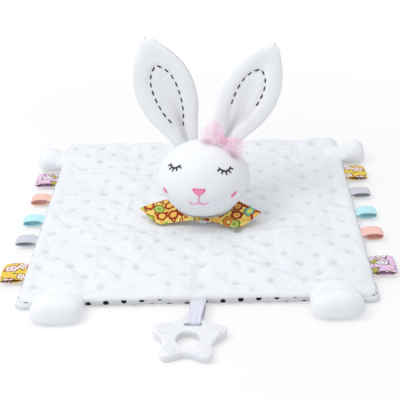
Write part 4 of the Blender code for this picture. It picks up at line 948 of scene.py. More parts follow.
def build_head(look):
    """The stuffed velour head, drawn in at the neck, and the gathered disc that it stands on."""
    velour = pile_material("velour", look.velour, 0.0006)
    dents = [(crown_place(EARS[name]["out"], EARS[name]["back"], 0.0), 0.016, 0.0007) for name in EARS]
    dents.append((HEAD_CENTRE + head_unit(0.5, 12.0) * 0.036, 0.008, 0.0004))
    dents.append((crown_place(BOW_OUT, 0.0, 0.0), 0.007, 0.0006))
    bm = bmesh.new()
    bmesh.ops.create_icosphere(bm, subdivisions=6, radius=1.0)
    for vert in bm.verts:
        unit = vert.co.normalized()
        spot = HEAD_CENTRE + unit * HEAD_AXES * head_taper(math.degrees(math.asin(unit.z)))
        lumps = noise.noise(unit * 2.1 + Vector((4.0, 1.0, 2.0))) * look.lumps
        lumps += noise.noise(unit * 5.0) * look.lumps * 0.35
        pleat = abs(math.sin(math.atan2(unit.y, unit.x) * look.pleats / 2)) ** 0.7
        inset = smooth((-unit.z - 0.72) / 0.26) * 0.0011 * (1 - pleat)
        inset += sum(deep * bell((spot - at).length, wide) for at, wide, deep in dents)
        seam = bell((unit.x + 0.04) * 0.04, 0.0009) if unit.y > 0.15 and unit.z < 0.75 else 0.0
        vert.co = spot + unit * (lumps - inset - 0.0005 * seam)
    head = add_piece("head", closed(bm), velour, "velour", "head")
    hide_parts("head_cover", "head_stuffing")
    base = SEAT_HEIGHT + 0.0002

    def neck_place(across, along):
        wide, high = curve_at(NECK_ROWS, along)
        turn = 2 * math.pi * across
        radius = NECK_RADIUS * wide * (1 - 0.05 * (1 + math.cos(turn * look.pleats)) * smooth(wide * 2 - 1))
        top = head_underside(radius) - 0.0003 - NECK_EASE * (radius / NECK_RADIUS) ** 2
        level = base + (top - base) * min(1.0, max(0.0, high))
        return Vector((HEAD_CENTRE.x + radius * math.cos(turn), HEAD_CENTRE.y + radius * math.sin(turn),
                       level))

    neck = add_piece("neck_gathers", closed(cloth_grid(144, 20, neck_place)), velour, "velour", "neck")
    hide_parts("neck_gather")


# The ears: each one's root on the crown, its lean and turn, and its fold's place, its outer edge's fullness,
# its painted light (a gain on the velour's colour, darker on the left ear and lighter on the right), how dark
# the painted shade in its dish is, and the shares of its length below which its stitches, left and right, lie
# inside its folds
EARS = {
    "left_ear": {"out": -21.3, "back": 28.2, "lean_out": -19.2, "lean_back": 13.7, "face": -4.0,
                 "tilt": 0.12, "fuller": 0.065, "shade": 0.955, "dish_shade": 0.32, "hidden": (0.15, 0.10)},
    "right_ear": {"out": 26.5, "back": 29.1, "lean_out": 28.5, "lean_back": 14.9, "face": 4.0,
                  "tilt": 0.05, "fuller": 0.035, "shade": 1.08, "dish_shade": 0.18, "hidden": (0.27, 0.42)},
}
EAR_LENGTH = 0.0915
EAR_WIDTH = 0.051
EAR_THICKNESS = 0.0105
EAR_DISH = 0.0034
EAR_KNUCKLE = 0.0036
EAR_ROOT = 0.055
EAR_FOLD = 0.0032
# Shares of the ear's width, thickness and dish, and places of its stitches, along its length
EAR_OUTLINE = ((-0.06, 0.42), (0.0, 0.50), (0.13, 0.68), (0.26, 0.88), (0.40, 0.99), (0.52, 1.0),
               (0.66, 0.90), (0.80, 0.66), (0.92, 0.36), (0.97, 0.21), (1.0, 0.02))
EAR_BODY = ((-0.06, 0.50), (0.0, 0.74), (0.13, 0.88), (0.26, 1.0), (0.40, 1.0), (0.66, 1.0), (0.80, 0.92),
            (0.92, 0.70), (0.97, 0.46), (1.0, 0.05))
EAR_DISH_SHARES = ((-0.06, 0.2), (0.0, 0.30), (0.13, 0.75), (0.30, 1.0), (0.60, 1.0), (0.78, 0.55),
                   (0.90, 0.0), (1.0, 0.0))
EAR_STITCHES = ((0.10, 0.10), (0.20, 0.26), (0.30, 0.37), (0.42, 0.43), (0.52, 0.43), (0.60, 0.37),
                (0.67, 0.24), (0.72, 0.04))


def ear_frame(ear):
    """Root place on the head, then the ear's own across, along and back directions."""
    root = crown_place(ear["out"], ear["back"], EAR_KNUCKLE + 0.0003)
    lean_out = math.radians(ear["lean_out"])
    lean_back = math.radians(ear["lean_back"])
    along = Vector((math.sin(lean_out), math.cos(lean_out) * math.sin(lean_back),
                    math.cos(lean_out) * math.cos(lean_back)))
    across = Vector((math.cos(lean_out), 0.0, -math.sin(lean_out)))
    across.rotate(Matrix.Rotation(math.radians(ear["face"]), 3, along))
    return root, across, along, along.cross(across)


def stitch_line():
    """Points of the stitch's leaf outline in the ear's own plane: across and along, in metres."""
    sides = [[Vector((side * width * EAR_WIDTH / 2, share * EAR_LENGTH)) for share, width in EAR_STITCHES]
             for side in (-1, 1)]
    return sides[0] + list(reversed(sides[1]))


def fine_line(points):
    """Many points along a smooth curve through a few flat ones."""
    return [path_at([(*point, 0.0) for point in points], k / 400)[0] for k in range(401)]


def spaced(points, step):
    """Points at even steps along a smooth curve through the given ones."""
    fine = fine_line(points)
    places, travelled, wanted = [], 0.0, 0.0
    for a, b in zip(fine, fine[1:]):
        length = (b - a).length
        while travelled + length >= wanted:
            places.append(a.lerp(b, (wanted - travelled) / length if length else 0.0).to_2d())
            wanted += step
        travelled += length
    return places


def build_ears(look):
    """Two stuffed ears with a sewn dish, each with its running stitch."""
    black = thread_material("black_thread", look.black_thread)
    line = spaced(stitch_line(), 0.0015)

    def groove(across, along):
        return bell(min((Vector((across, along)) - point).length for point in line), 0.0017)

    for name, ear in EARS.items():
        directions = ear_frame(ear)
        root, across_way, along_way, back_way = directions

        def place(u, v):
            share = -EAR_ROOT + (1 + EAR_ROOT) * v
            half = EAR_WIDTH / 2 * max(0.01, curve_at(EAR_OUTLINE, share)[0])
            body = EAR_THICKNESS / 2 * max(0.02, curve_at(EAR_BODY, share)[0])
            dish = EAR_DISH * curve_at(EAR_DISH_SHARES, share)[0]
            turn = 2 * math.pi * u
            out = power(math.cos(turn), 0.85)
            outer = max(0.0, out * math.copysign(1.0, ear["out"]))
            half *= 1 + ear["fuller"] * outer * smooth(share * 5)
            height = body * power(math.sin(turn), 0.66)
            seam_dip = groove(half * out, share * EAR_LENGTH)
            if height > 0:
                sunk = -0.25 * dish * (1 - out * out)
                height -= 0.0006 * seam_dip if share > 0.08 else 0.0
            else:
                fold = smooth(1 - share / 0.34) * smooth((share + 0.06) / 0.05)
                sunk = dish * bell(out, 0.52) + EAR_FOLD * fold * bell(out - ear["tilt"], 0.20)
                sunk += 0.0013 * seam_dip * smooth((share - 0.06) / 0.06)
            ripple = 0.0005 * noise.noise(Vector((out * 2.2, share * 5.0, ear["out"])))
            seam = 1 - 0.02 * bell(math.sin(turn), 0.10)
            return (root + along_way * (share * EAR_LENGTH) + across_way * (half * out * seam)
                    + back_way * (height + sunk + ripple * math.copysign(1.0, height)))

        # Each ear gets its own copy of the velour with painted light: the colour times the ear's gain, with
        # painted shade in its fold and dish
        cover = pile_material(name + "_velour", [ear["shade"] * value for value in look.velour], 0.0006,
                              (0.75 + ear["tilt"] * 0.11, ear["dish_shade"]))
        piece = add_piece(name, cap_rims(cloth_grid(72, 84, place)), cover, "velour")
        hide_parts(name + "_cover", name + "_wadding")
        tree = surface_of(piece)
        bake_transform(piece)
        add_stitches(name, look, tree, directions, black)


def add_stitches(name, look, tree, directions, thread):
    """The running stitch: short rounded dashes that dip into the cloth at both ends."""
    root, across_way, along_way, back_way = directions
    outline = stitch_line()
    fine = fine_line(outline)
    total = sum((b - a).length for a, b in zip(fine, fine[1:])) - look.stitch_length
    period = total / round(total / (look.stitch_length + look.stitch_gap))
    line = spaced(outline, period / 10)
    bm = bmesh.new()
    for k in range(0, len(line), 10):
        flat = [line[min(len(line) - 1, k + step)] for step in (0, 2, 4, 6)]
        if flat[1].y < EAR_LENGTH * EARS[name]["hidden"][0 if flat[1].x < 0 else 1]:
            continue
        hits = []
        for spot in flat:
            start = root + across_way * spot.x + along_way * spot.y - back_way * EAR_WIDTH
            hits.append(tree.ray_cast(start, back_way))
        if any(hit[0] is None for hit in hits):
            raise RuntimeError(name + ": a stitch misses the ear")
        heading = (hits[-1][0] - hits[0][0]).normalized()
        normal = (hits[1][1] + hits[2][1]).normalized()
        middle = (hits[1][0] + hits[2][0]) / 2 + normal * 0.0001
        sideways = normal.cross(heading).normalized()
        size = Matrix((heading * look.stitch_length / 2, sideways * look.stitch_width / 2,
                       normal * 0.00048)).transposed().to_4x4()
        upright = Matrix.Rotation(math.pi / 2, 4, "Y")
        bmesh.ops.create_uvsphere(bm, u_segments=10, v_segments=8, radius=1.0,
                                  matrix=Matrix.Translation(middle) @ size @ upright)
    bmesh.ops.recalc_face_normals(bm, faces=bm.faces)
    stitches = add_piece(name + "_running_stitch", bm, thread, "black_thread", name)
    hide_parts(name + "_stitches")


# The face: sizes, then places in degrees across and up from the nose's meridian, with a roll or a lean
EYE_WIDTH = 0.0114
EYE_SAG = 0.0030
LASH_LENGTH = 0.003808
NOSE_WIDTH = 0.0112
NOSE_HEIGHT = 0.0062
NOSE_THREADS = 22
MOUTH_WIDTH = 0.0176
MOUTH_SAG = 0.0030
PHILTRUM = 0.0082
CHEEK_LENGTH = 0.0042
CHEEK_PITCH = 0.00075
PALE_PINK = (0.90, 0.50, 0.70)
EYES = {"left_eye": (-44.5, 37.0, 12.0), "right_eye": (40.0, 38.0, -7.0)}
NOSE_ANGLES = (0.5, 15.0)
CHEEKS = {"left_cheek": (-47.5, 0.0, -0.6), "right_cheek": (45.5, 1.0, 0.6)}
LASHES = ((-0.84, -0.85, 0.50), (-0.46, -0.45, 0.85), (0.0, 0.0, 1.0), (0.46, 0.45, 0.85), (0.84, 0.85, 0.50))
NOSE_ROWS = ((0.0, 0.86), (0.25, 1.0), (0.5, 0.80), (0.75, 0.50), (1.0, 0.14))


def face_spot(tree, centre, across, up, lift):
    """A place on the finished head, given by lengths across and up from a named centre."""
    side = centre[0] + math.degrees(across / (HEAD_AXES.x * math.cos(math.radians(centre[1]))))
    unit = head_unit(side, centre[1] + math.degrees(up / HEAD_AXES.z))
    direction = (unit * HEAD_AXES).normalized()
    hit, normal = tree.ray_cast(HEAD_CENTRE + direction * 0.08, -direction)[:2]
    if hit is None:
        raise RuntimeError("the embroidery misses the head")
    return hit + normal * lift


def sewn_line(bm, tree, centre, line, radius, lift):
    """A thread laid on the face along a flat line, thinner where it dips in at its ends."""
    count = len(line)
    points = [face_spot(tree, centre, across, up, lift) for across, up in line]
    radii = [radius * math.sqrt(max(0.0, 1 - abs(2 * k / (count - 1) - 1) ** 8)) for k in range(count)]
    tube(bm, points, radii)


def build_face(look, black):
    """Closed eyes with lashes, a satin-stitched nose, the mouth and two cheek marks."""
    tree = surface_of(bpy.data.objects["head"])
    for name, (side, up, roll) in EYES.items():
        rolled = Matrix.Rotation(math.radians(roll), 2)
        arc = [rolled @ Vector((EYE_WIDTH / 2 * s, EYE_SAG * (s * s - 0.5)))
               for s in [k / 11 - 1.1 for k in range(25)]]
        bm = bmesh.new()
        sewn_line(bm, tree, (side, up), arc, 0.00074, 0.0002)
        for at, lean, drop in LASHES:
            start = Vector((EYE_WIDTH / 2 * at, EYE_SAG * (at * at - 0.5)))
            way = Vector((lean, -drop)).normalized() * LASH_LENGTH
            line = [rolled @ (start + way * (k / 6 - 0.06)) for k in range(7)]
            sewn_line(bm, tree, (side, up), line, 0.00064, 0.00018)
        eye = add_piece(name, bm, black, "black_thread", "head")
        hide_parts(name + "_embroidery")

    def nose_place(across, along):
        wide = curve_at(NOSE_ROWS, along)[0]
        s = 2 * across - 1
        rib = 0.00013 * abs(math.sin(math.pi * across * NOSE_THREADS))
        dome = 0.00085 * math.sqrt(max(0.0, (1 - s ** 4) * (1 - (2 * along - 1) ** 6)))
        up = -NOSE_HEIGHT * along - 0.0004 * (1 - s * s) * (1 - along)
        return face_spot(tree, NOSE_ANGLES, s * NOSE_WIDTH / 2 * wide, up, dome + rib - 0.00025)

    bm = walled(cloth_grid(NOSE_THREADS * 4, 16, nose_place), 0.0004)
    stitch = satin_stitch("nose_thread", look.pink_thread, NOSE_THREADS)
    nose = add_piece("nose", bm, stitch, "pink_thread", "head")
    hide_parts("nose_embroidery")

    bm = bmesh.new()
    level = -NOSE_HEIGHT - PHILTRUM - 0.0012
    mouth = [(MOUTH_WIDTH / 2 * s, level + MOUTH_SAG * s ** 4 + 0.0017 * bell(s, 0.26))
             for s in [k / 20 - 1 for k in range(41)]]
    sewn_line(bm, tree, NOSE_ANGLES, mouth, 0.00078, 0.0002)
    stem = [(0.0001, -NOSE_HEIGHT + 0.0004 - PHILTRUM * k / 12) for k in range(13)]
    sewn_line(bm, tree, NOSE_ANGLES, stem, 0.00072, 0.0002)
    pale = [0.25 * full + 0.75 * soft for full, soft in zip(look.pink_thread, PALE_PINK)]
    smile = add_piece("mouth", bm, thread_material("mouth_thread", pale, 0.0009), "pink_thread", "head")
    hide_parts("mouth_embroidery")

    pink = thread_material("pink_thread", look.pink_thread, 0.0009)
    for name, (side, up, lean) in CHEEKS.items():
        bm = bmesh.new()
        for k in range(-3, 4):
            reach = CHEEK_LENGTH * (0.66 - 0.048 * k * k)
            line = [(k * CHEEK_PITCH + lean * reach * (j / 4 - 1), reach * (j / 4 - 1)) for j in range(9)]
            sewn_line(bm, tree, (side, up), line, 0.00050, 0.00006 * (4 - abs(k)))
        cheek = add_piece(name, bm, pink, "pink_thread", "head")
        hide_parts(name + "_mark")


# The bow and the collar
BOW_LENGTH = 0.042
BOW_WIDTH = 0.021
BOW_OUT = 24.0
BOW_FACING = 30.0
NET_WIDTH = 0.024
NET_CLOTH = 0.00014
BOW_UP_END = Vector((-0.46, 0.09, 0.30))
BOW_LOW_END = Vector((0.47, -0.23, -0.20))
# Along the bow from end to end: a share of its length, its width and its depth
BOW_SPREAD = ((0.0, 1.0, 0.55), (0.12, 1.08, 0.95), (0.28, 1.0, 1.0), (0.40, 0.68, 0.78), (0.47, 0.34, 0.40),
              (0.53, 0.34, 0.40), (0.62, 0.60, 0.62), (0.80, 0.86, 0.85), (1.0, 0.96, 0.60))


def build_bow(look):
    """A gathered bow of several layers of net, tacked to the head by a thread."""
    middle = crown_place(BOW_OUT, 0.0, 0.0034)
    ends = [middle + BOW_UP_END * BOW_LENGTH, middle + BOW_LOW_END * BOW_LENGTH]
    heading = (ends[1] - ends[0]).normalized()
    facing = math.radians(BOW_FACING)
    up = Vector((0.0, -math.cos(facing), math.sin(facing))).cross(heading).normalized()
    front = heading.cross(up)
    bm = bmesh.new()
    for number in range(look.layers):
        lift = (number + 0.5) / look.layers * 2 - 1
        reach = 0.92 - 0.05 * ((number * 2) % 3)
        swing = 0.10 * math.sin(2.3 * number + 0.6)

        def place(across, along):
            s = 2 * across - 1
            share = 0.5 + (along - 0.5) * reach * (1 - 0.22 * s * s)
            wide, deep = curve_at(BOW_SPREAD, share)
            out = abs(share - 0.5) * 2
            frill = 0.08 * math.sin(7 * s + 3.1 * number) + 0.05 * math.sin(17 * s + number)
            frill *= smooth(out * 1.4)
            folds = math.sin(s * (4.0 + number % 3) * math.pi / 2 + number * 1.7 + 3.0 * share)
            depth = look.ruffle * folds * deep * smooth(out * 1.6) + 0.0040 * deep * lift
            depth += 0.0012 * noise.noise(Vector((s * 2, share * 6, number * 3.0)))
            crimp = 0.0004 * math.sin(s * 25) * (1 - smooth(out * 2))
            spot = ends[0].lerp(ends[1], share + frill * 0.5)
            spot += up * (BOW_WIDTH / 2 * wide * (s + swing * out)) + front * (depth + crimp)
            return clear_of_head(spot, 0.0010)

        join_part(bm, walled(cloth_grid(56, 60, place), NET_CLOTH))
    bow = add_piece("net_bow", bm, net_material(look.net), "tulle", "head")
    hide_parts("tulle_bow")
    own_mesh(bow)

    centre = ends[0].lerp(ends[1], 0.5)
    tie = wound_thread(centre, (heading, up, front), (0.00275, 0.00225), 4, 0.00095, 0.0004, 0.0005)
    thread = thread_material("bow_thread", look.tie, 0.0008)
    knot = add_piece("bow_tack", tie, thread, "pink_thread", "head")
    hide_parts("bow_tie")


COLLAR_SPAN = 0.108
COLLAR_TURN = -7.5
COLLAR_PLACE = Vector((0.0, -0.0345, 0.0117))
COLLAR_DEPTHS = (0.0240, 0.0080)
COLLAR_LIFTS = {-1: 0.0104, 1: 0.0113}
# The front and back edges of a wing, from the middle out: shares of its reach, its depth and its lift
COLLAR_FRONT = ((0.0, -0.10, 0.66), (0.14, -0.14, 0.50), (0.34, 0.02, 0.18), (0.60, -0.34, 0.04),
                (0.77, 0.05, 0.24), (0.97, 0.34, 0.86))
COLLAR_BACK = ((0.0, -0.20, 0.80), (0.12, -0.05, 0.82), (0.32, 0.40, 0.92), (0.60, 1.05, 1.02),
               (0.80, 0.70, 0.95), (1.0, 0.40, 0.85))


def straight_at(rows, place):
    """Values of evenly numbered rows at a place between them, along straight lines."""
    k = min(len(rows) - 2, int(place))
    return [low + (high - low) * (place - k) for low, high in zip(rows[k], rows[k + 1])]


def collar_point(side, at, part):
    """A place on a wing: at counts the rows out from the middle, part goes from the front to the back."""
    low = straight_at(COLLAR_FRONT, at)
    high = straight_at(COLLAR_BACK, at)
    reach = side * COLLAR_SPAN / 2 * (low[0] + (high[0] - low[0]) * part)
    ends = [value * COLLAR_DEPTHS[0 if value > 0 else 1] for value in (low[1], high[1])]
    lift = COLLAR_LIFTS[side] * (low[2] + (high[2] - low[2]) * part)
    return Vector((reach, ends[0] + (ends[1] - ends[0]) * part, lift))


def build_collar(look):
    """Two pointed wings of doubled floral cotton, gathered at the middle by a thread."""
    rows = len(COLLAR_FRONT) - 1
    half_cloth = look.collar_cloth / 2
    turned = Matrix.Rotation(math.radians(COLLAR_TURN), 3, "Z")

    def place(across, along):
        side = -1 if along < 0.5 else 1
        at = abs(2 * along - 1) * rows
        part = min(1.0, max(0.0, 2 * min(across, 1 - across)))
        point = collar_point(side, at, part)
        reach = abs(point.x) / (COLLAR_SPAN / 2)
        gather = 0.0011 * math.sin(part * 5 * math.pi + 0.6 * side) * bell(reach, 0.22)
        soft = 0.0012 * wander(point.x, point.y, 60, 2.0) * smooth(reach * 2)
        rim = min(part, 1 - part) * 0.02
        edge = math.sqrt(max(0.0, 1 - (1 - min(1.0, rim / 0.0012)) ** 2))
        edge = max(edge, 0.25) * (1.0 if at < rows - 0.02 else 0.35)
        point = turned @ point + COLLAR_PLACE + Z_UP * (gather + soft - half_cloth)
        point = clear_of_head(point, 0.0012 + 0.0011 * smooth(reach * 2) + half_cloth)
        return point + Z_UP * (half_cloth * edge * (1 if across <= 0.5 else -1))

    bm = cap_rims(cloth_grid(64, 140, place))
    collar = add_piece("floral_collar", bm, floral_cotton(look.collar_ground), "floral_cotton", "neck", 70)
    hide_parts("collar")

    middle = [vert.co for vert in collar.data.vertices if abs(vert.co.x) < 0.0015]
    low = Vector([min(spot[k] for spot in middle) for k in range(3)])
    high = Vector([max(spot[k] for spot in middle) for k in range(3)])
    half = (high - low) / 2 + Vector((0.0006, 0.0006, 0.0006))
    axes = [turned @ Vector((1.0, 0.0, 0.0)), turned @ Vector((0.0, 1.0, 0.0)), Z_UP]
    tie = wound_thread((low + high) / 2, axes, (half.y, half.z), 3, 0.0007, 0.0002, 0.00040)
    thread = add_piece("collar_tie", tie, thread_material("collar_thread", look.collar_tie, 0.0008),
                       "floral_cotton", "neck")
    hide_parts("collar_thread")


# The paws: shares of a paw's width, of its height above the seam and of its depth below, along its length
PAW_ROOT = 1.05
PAW_SHARES = ((-PAW_ROOT, 0.46, 0.24, 0.15), (-0.80, 0.74, 0.38, 0.20), (-0.50, 0.90, 0.50, 0.30),
              (-0.25, 0.955, 0.60, 0.45), (0.0, 0.98, 0.70, 0.58), (0.16, 0.985, 0.80, 0.78),
              (0.34, 0.99, 0.92, 0.94), (0.56, 1.0, 1.0, 1.0), (0.77, 0.93, 0.92, 0.95),
              (0.92, 0.72, 0.66, 0.74), (0.98, 0.46, 0.38, 0.44), (1.0, 0.05, 0.05, 0.05))
# The reach, width and thickness of a foot and of a hand, and where they are sewn in
PAW_SIZES = {"foot": (0.0250, 0.041, 0.0200), "hand": (0.0240, 0.0296, 0.0208)}
FOOT_PLACE = 0.107
HAND_PLACE = 0.1065


def build_paws(look):
    """Two feet and two hands, stuffed and sewn into the seam."""
    # Painted light: the paws' plush is made lighter than the quilt's to make up for the dimmer light on their
    # front faces
    plush = pile_material("paw_plush_painted_light", [min(0.96, 1.055 * value) for value in look.plush], 0.0007)
    for side, kind in ((-1, "foot"), (-1, "hand"), (1, "foot"), (1, "hand")):
        if kind == "foot":
            hinge, outward = Vector((side * FOOT_PLACE, -PAW_EDGE, SEAM_HEIGHT)), Vector((0.0, -1.0, 0.0))
        else:
            hinge, outward = Vector((side * PAW_EDGE, HAND_PLACE, SEAM_HEIGHT)), Vector((side, 0.0, 0.0))
        reach, width, thickness = PAW_SIZES[kind]
        sideways = Vector((-outward.y, outward.x, 0.0))
        seed = hinge.x * 40 + hinge.y * 9

        def place(u, v):
            share = -PAW_ROOT + (1 + PAW_ROOT) * v
            wide, above, below = curve_at(PAW_SHARES, share)
            turn = 2 * math.pi * u
            out = width / 2 * wide * power(math.cos(turn), 0.86)
            tall = power(math.sin(turn), 0.92)
            tall *= (thickness - SEAM_HEIGHT) * above if tall > 0 else (SEAM_HEIGHT - 0.0003) * below
            if math.sin(turn) > 0:
                lump = 0.0014 * noise.noise(Vector((out * 75, share * 2.2, seed)))
                lump += 0.0008 * noise.noise(Vector((out * 150, share * 4.4, seed)))
                lump += 0.0004 * math.sin(u * 44) * bell(share, 0.12)
                tall += lump * smooth(above * 1.5)
            return hinge + outward * ((reach - 0.0028) * share) + sideways * out + Z_UP * tall

        name = ("left_" if side < 0 else "right_") + kind
        paw = add_piece(name, cap_rims(cloth_grid(64, 60, place)), plush, "plush")
        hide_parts(name + "_cover", name + "_stuffing")
        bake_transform(paw)


# The tags, from the back to the front on each side
TAG_PLACES = (0.069, 0.029, -0.010, -0.0455, -0.096)
TAG_KINDS = {
    "left": ("pink_printed", "coral", "cyan", "grey", "yellow_printed"),
    "right": ("yellow_printed", "grey", "cyan", "coral", "pink_printed"),
}
NARROW_TAG = 0.0125
WIDE_TAG = 0.0235
TAG_RISE = 0.0030
TAG_CLOTH = 0.00055
# The upper half of a loop from the seam to its fold: shares of its reach and of its rise
TAG_UPPER = ((-0.12, 0.20), (0.0, 0.24), (0.07, 0.46), (0.16, 0.74), (0.28, 0.94), (0.45, 1.0), (0.62, 0.98),
             (0.78, 0.88), (0.90, 0.66), (0.97, 0.36), (1.0, 0.0))
# Each print's flowers, its dark thread colour and its specks
PINK_PRINT = (((0.92, 0.88, 0.93), (0.55, 0.48, 0.08)), (0.05, 0.03, 0.06),
              ((0.10, 0.08, 0.10), (0.50, 0.46, 0.10), (0.90, 0.84, 0.92)))
YELLOW_PRINT = (((0.93, 0.82, 0.84), (0.92, 0.88, 0.76)), (0.30, 0.03, 0.04),
                ((0.24, 0.34, 0.05), (0.45, 0.05, 0.03), (0.88, 0.80, 0.45)))


def build_tags(look):
    """Ten folded ribbon tags in the side seams."""
    materials = {kind: satin_ribbon(kind + "_satin", getattr(look, kind), NARROW_TAG, 0.0385)
                 for kind in ("coral", "cyan", "grey")}
    materials["pink_printed"] = printed_ribbon("pink_print", look.pink, *PINK_PRINT, 0.0112)
    materials["yellow_printed"] = printed_ribbon("yellow_print", look.yellow, *YELLOW_PRINT, 0.0130)
    loop = [(out, rise, 0.0) for out, rise in TAG_UPPER]
    loop += [(out, -rise, 0.0) for out, rise in reversed(TAG_UPPER[:-1])]
    for side, word in ((-1, "left"), (1, "right")):
        for number, (at, kind) in enumerate(zip(TAG_PLACES, TAG_KINDS[word])):
            printed = kind.endswith("printed")
            width, reach, flat = (WIDE_TAG, 0.0190, 0.62) if printed else (NARROW_TAG, 0.0170, 1.0)
            if kind == "grey":
                flat = 0.75
            seed = number * 1.7 + side * 3.3

            def place(across, along):
                out, rise = path_at(loop, along)[0].xy
                s = 2 * across - 1
                sag = 0.0005 * noise.noise(Vector((s * 1.5, along * 3, seed)))
                curl = 0.0006 * s * s * math.sin(math.pi * along) * (1 if along < 0.5 else 0.3)
                skew = 0.0012 * noise.noise(Vector((seed, 1.0, 2.0))) * out
                x = side * (TAG_EDGE + out * reach * (1 - 0.02 * s * s))
                z = SEAM_HEIGHT + rise * TAG_RISE * flat + sag - curl
                return Vector((x, at + s * width / 2 + skew, z))

            bm = walled(cloth_grid(18, 72, place), TAG_CLOTH)
            cad = kind if printed else kind + "_satin"
            slot = kind.replace("ed", "") if printed else cad
            body = f"{word}_{kind}"
            tag = add_piece(body + "_loop", bm, materials[kind], slot, body, 50)
            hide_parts(f"{word}_{cad}_tag")


# The teether and its ribbon
STAR_RADIUS = 0.0239
STAR_POINT = 0.0047
STAR_SHARPEN = 0.0007
STAR_TIP = STAR_RADIUS + STAR_POINT + STAR_SHARPEN
STAR_THICKNESS = 0.0068
STAR_EDGE = 0.0022
STAR_HOLE = 0.0085
STAR_HOLE_SETBACK = 0.0045
STAR_SPIN = -4.0
STAR_PROP = 2.2
STAR_HEAD = Vector((-0.005, -0.1855, 0.0))
POINT_TURN = 2 * math.pi / 5
SLOT_LENGTH = 0.0132
SLOT_WIDTH = 0.0030
SLOT_ADVANCE = 0.0112
SLOT_SHIFT = 0.0022
RIBBON_WIDTH = 0.0120
RIBBON_IN_SLOT = 0.0085
RIBBON_CLOTH = 0.0006


def star_matrix():
    """Place of the star: lying on two of its points, its top point propped on the ribbon."""
    spin = Matrix.Rotation(math.radians(STAR_SPIN), 4, "Z")
    tilt = Matrix.Rotation(math.radians(STAR_PROP), 4, "X")
    prop = Vector((0.0, (STAR_TIP - STAR_EDGE) * math.cos(POINT_TURN / 2 + math.radians(STAR_SPIN)), 0.0))
    return Matrix.Translation(STAR_HEAD - prop) @ tilt @ Matrix.Translation(prop) @ spin


def build_teether(look):
    """Soft silicone star with rounded edges, gum ridges on its points, a finger hole and a ribbon slot."""
    matrix = star_matrix()

    def place(u, v):
        turn = 2 * math.pi * u
        way = Vector((math.sin(turn), math.cos(turn)))
        outer = way * (STAR_RADIUS + STAR_POINT * math.cos(5 * turn) + STAR_SHARPEN * math.cos(10 * turn))
        inner = way * STAR_HOLE - Vector((0.0, STAR_HOLE_SETBACK))
        width = (outer - inner).length
        straight = max(0.0, width / 2 - STAR_EDGE)
        c, s = math.cos(2 * math.pi * v), math.sin(2 * math.pi * v)
        reach = width / 2 * power(c, 0.9 * STAR_EDGE / (width / 2) + 0.12)
        over = max(0.0, abs(reach) - straight)
        high = STAR_THICKNESS / 2 - STAR_EDGE + math.sqrt(max(0.0, STAR_EDGE ** 2 - over * over))
        if over >= STAR_EDGE - 1e-9:
            high = (STAR_THICKNESS / 2 - STAR_EDGE) * min(1.0, abs(s) * 6)
        level = math.copysign(high, s) if abs(s) > 1e-9 else 0.0
        spot = inner.lerp(outer, 0.5 + reach / width)
        nearest = round(turn / POINT_TURN) * POINT_TURN
        out = spot.dot(Vector((math.sin(nearest), math.cos(nearest))))
        mask = smooth((out - 0.0165) / 0.003) * smooth((STAR_RADIUS + 0.0030 - out) / 0.003)
        mask *= smooth((straight - abs(reach)) / 0.0012)
        if 0.1 < nearest < 2 * math.pi - 0.1 or out > SLOT_ADVANCE + 0.006:
            across = spot.dot(Vector((math.sin(nearest + 0.6), math.cos(nearest + 0.6))))
            wave = 0.5 + 0.5 * math.cos(2 * math.pi * across / look.ridge_pitch)
            level += look.ridge_height * mask * (wave if level > 0 else 1 - wave)
        return matrix @ Vector((spot.x, spot.y, STAR_THICKNESS / 2 + level))

    bm = closed(cloth_grid(300, 72, place))
    star = add_piece("star", bm, silicone_material(look.silicone), "silicone")
    cutter = slot_cutter(matrix)
    modifier = star.modifiers.new("slot", "BOOLEAN")
    modifier.operation = "DIFFERENCE"
    modifier.solver = "EXACT"
    modifier.object = cutter
    bpy.context.view_layer.update()
    cut = bpy.data.meshes.new_from_object(star.evaluated_get(bpy.context.evaluated_depsgraph_get()))
    star.modifiers.clear()
    star.data = cut
    bpy.data.objects.remove(cutter)
    cut.set_sharp_from_angle(angle=math.radians(50))
    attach(star, "teether")
    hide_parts("star_teether")


def slot_cutter(matrix):
    """A long bar with round ends that cuts the ribbon's slot."""
    bm = bmesh.new()
    circle = bmesh.ops.create_circle(bm, cap_ends=False, segments=24, radius=SLOT_WIDTH / 2)["verts"]
    straight = (SLOT_LENGTH - SLOT_WIDTH) / 2
    for vert in circle:
        vert.co += Vector((math.copysign(straight, vert.co.x) + SLOT_SHIFT, SLOT_ADVANCE, -0.004))
    face = bmesh.ops.contextual_create(bm, geom=list(bm.edges))["faces"]
    for item in bmesh.ops.extrude_face_region(bm, geom=face)["geom"]:
        if isinstance(item, bmesh.types.BMVert):
            item.co.z = STAR_THICKNESS + 0.004
    bmesh.ops.recalc_face_normals(bm, faces=bm.faces)
    bmesh.ops.transform(bm, matrix=matrix, verts=bm.verts)
    mesh = bpy.data.meshes.new("slot_cutter")
    bm.to_mesh(mesh)
    bm.free()
    cutter = bpy.data.objects.new("slot_cutter", mesh)
    cutter.hide_render = True
    bpy.context.scene.collection.objects.link(cutter)
    return cutter


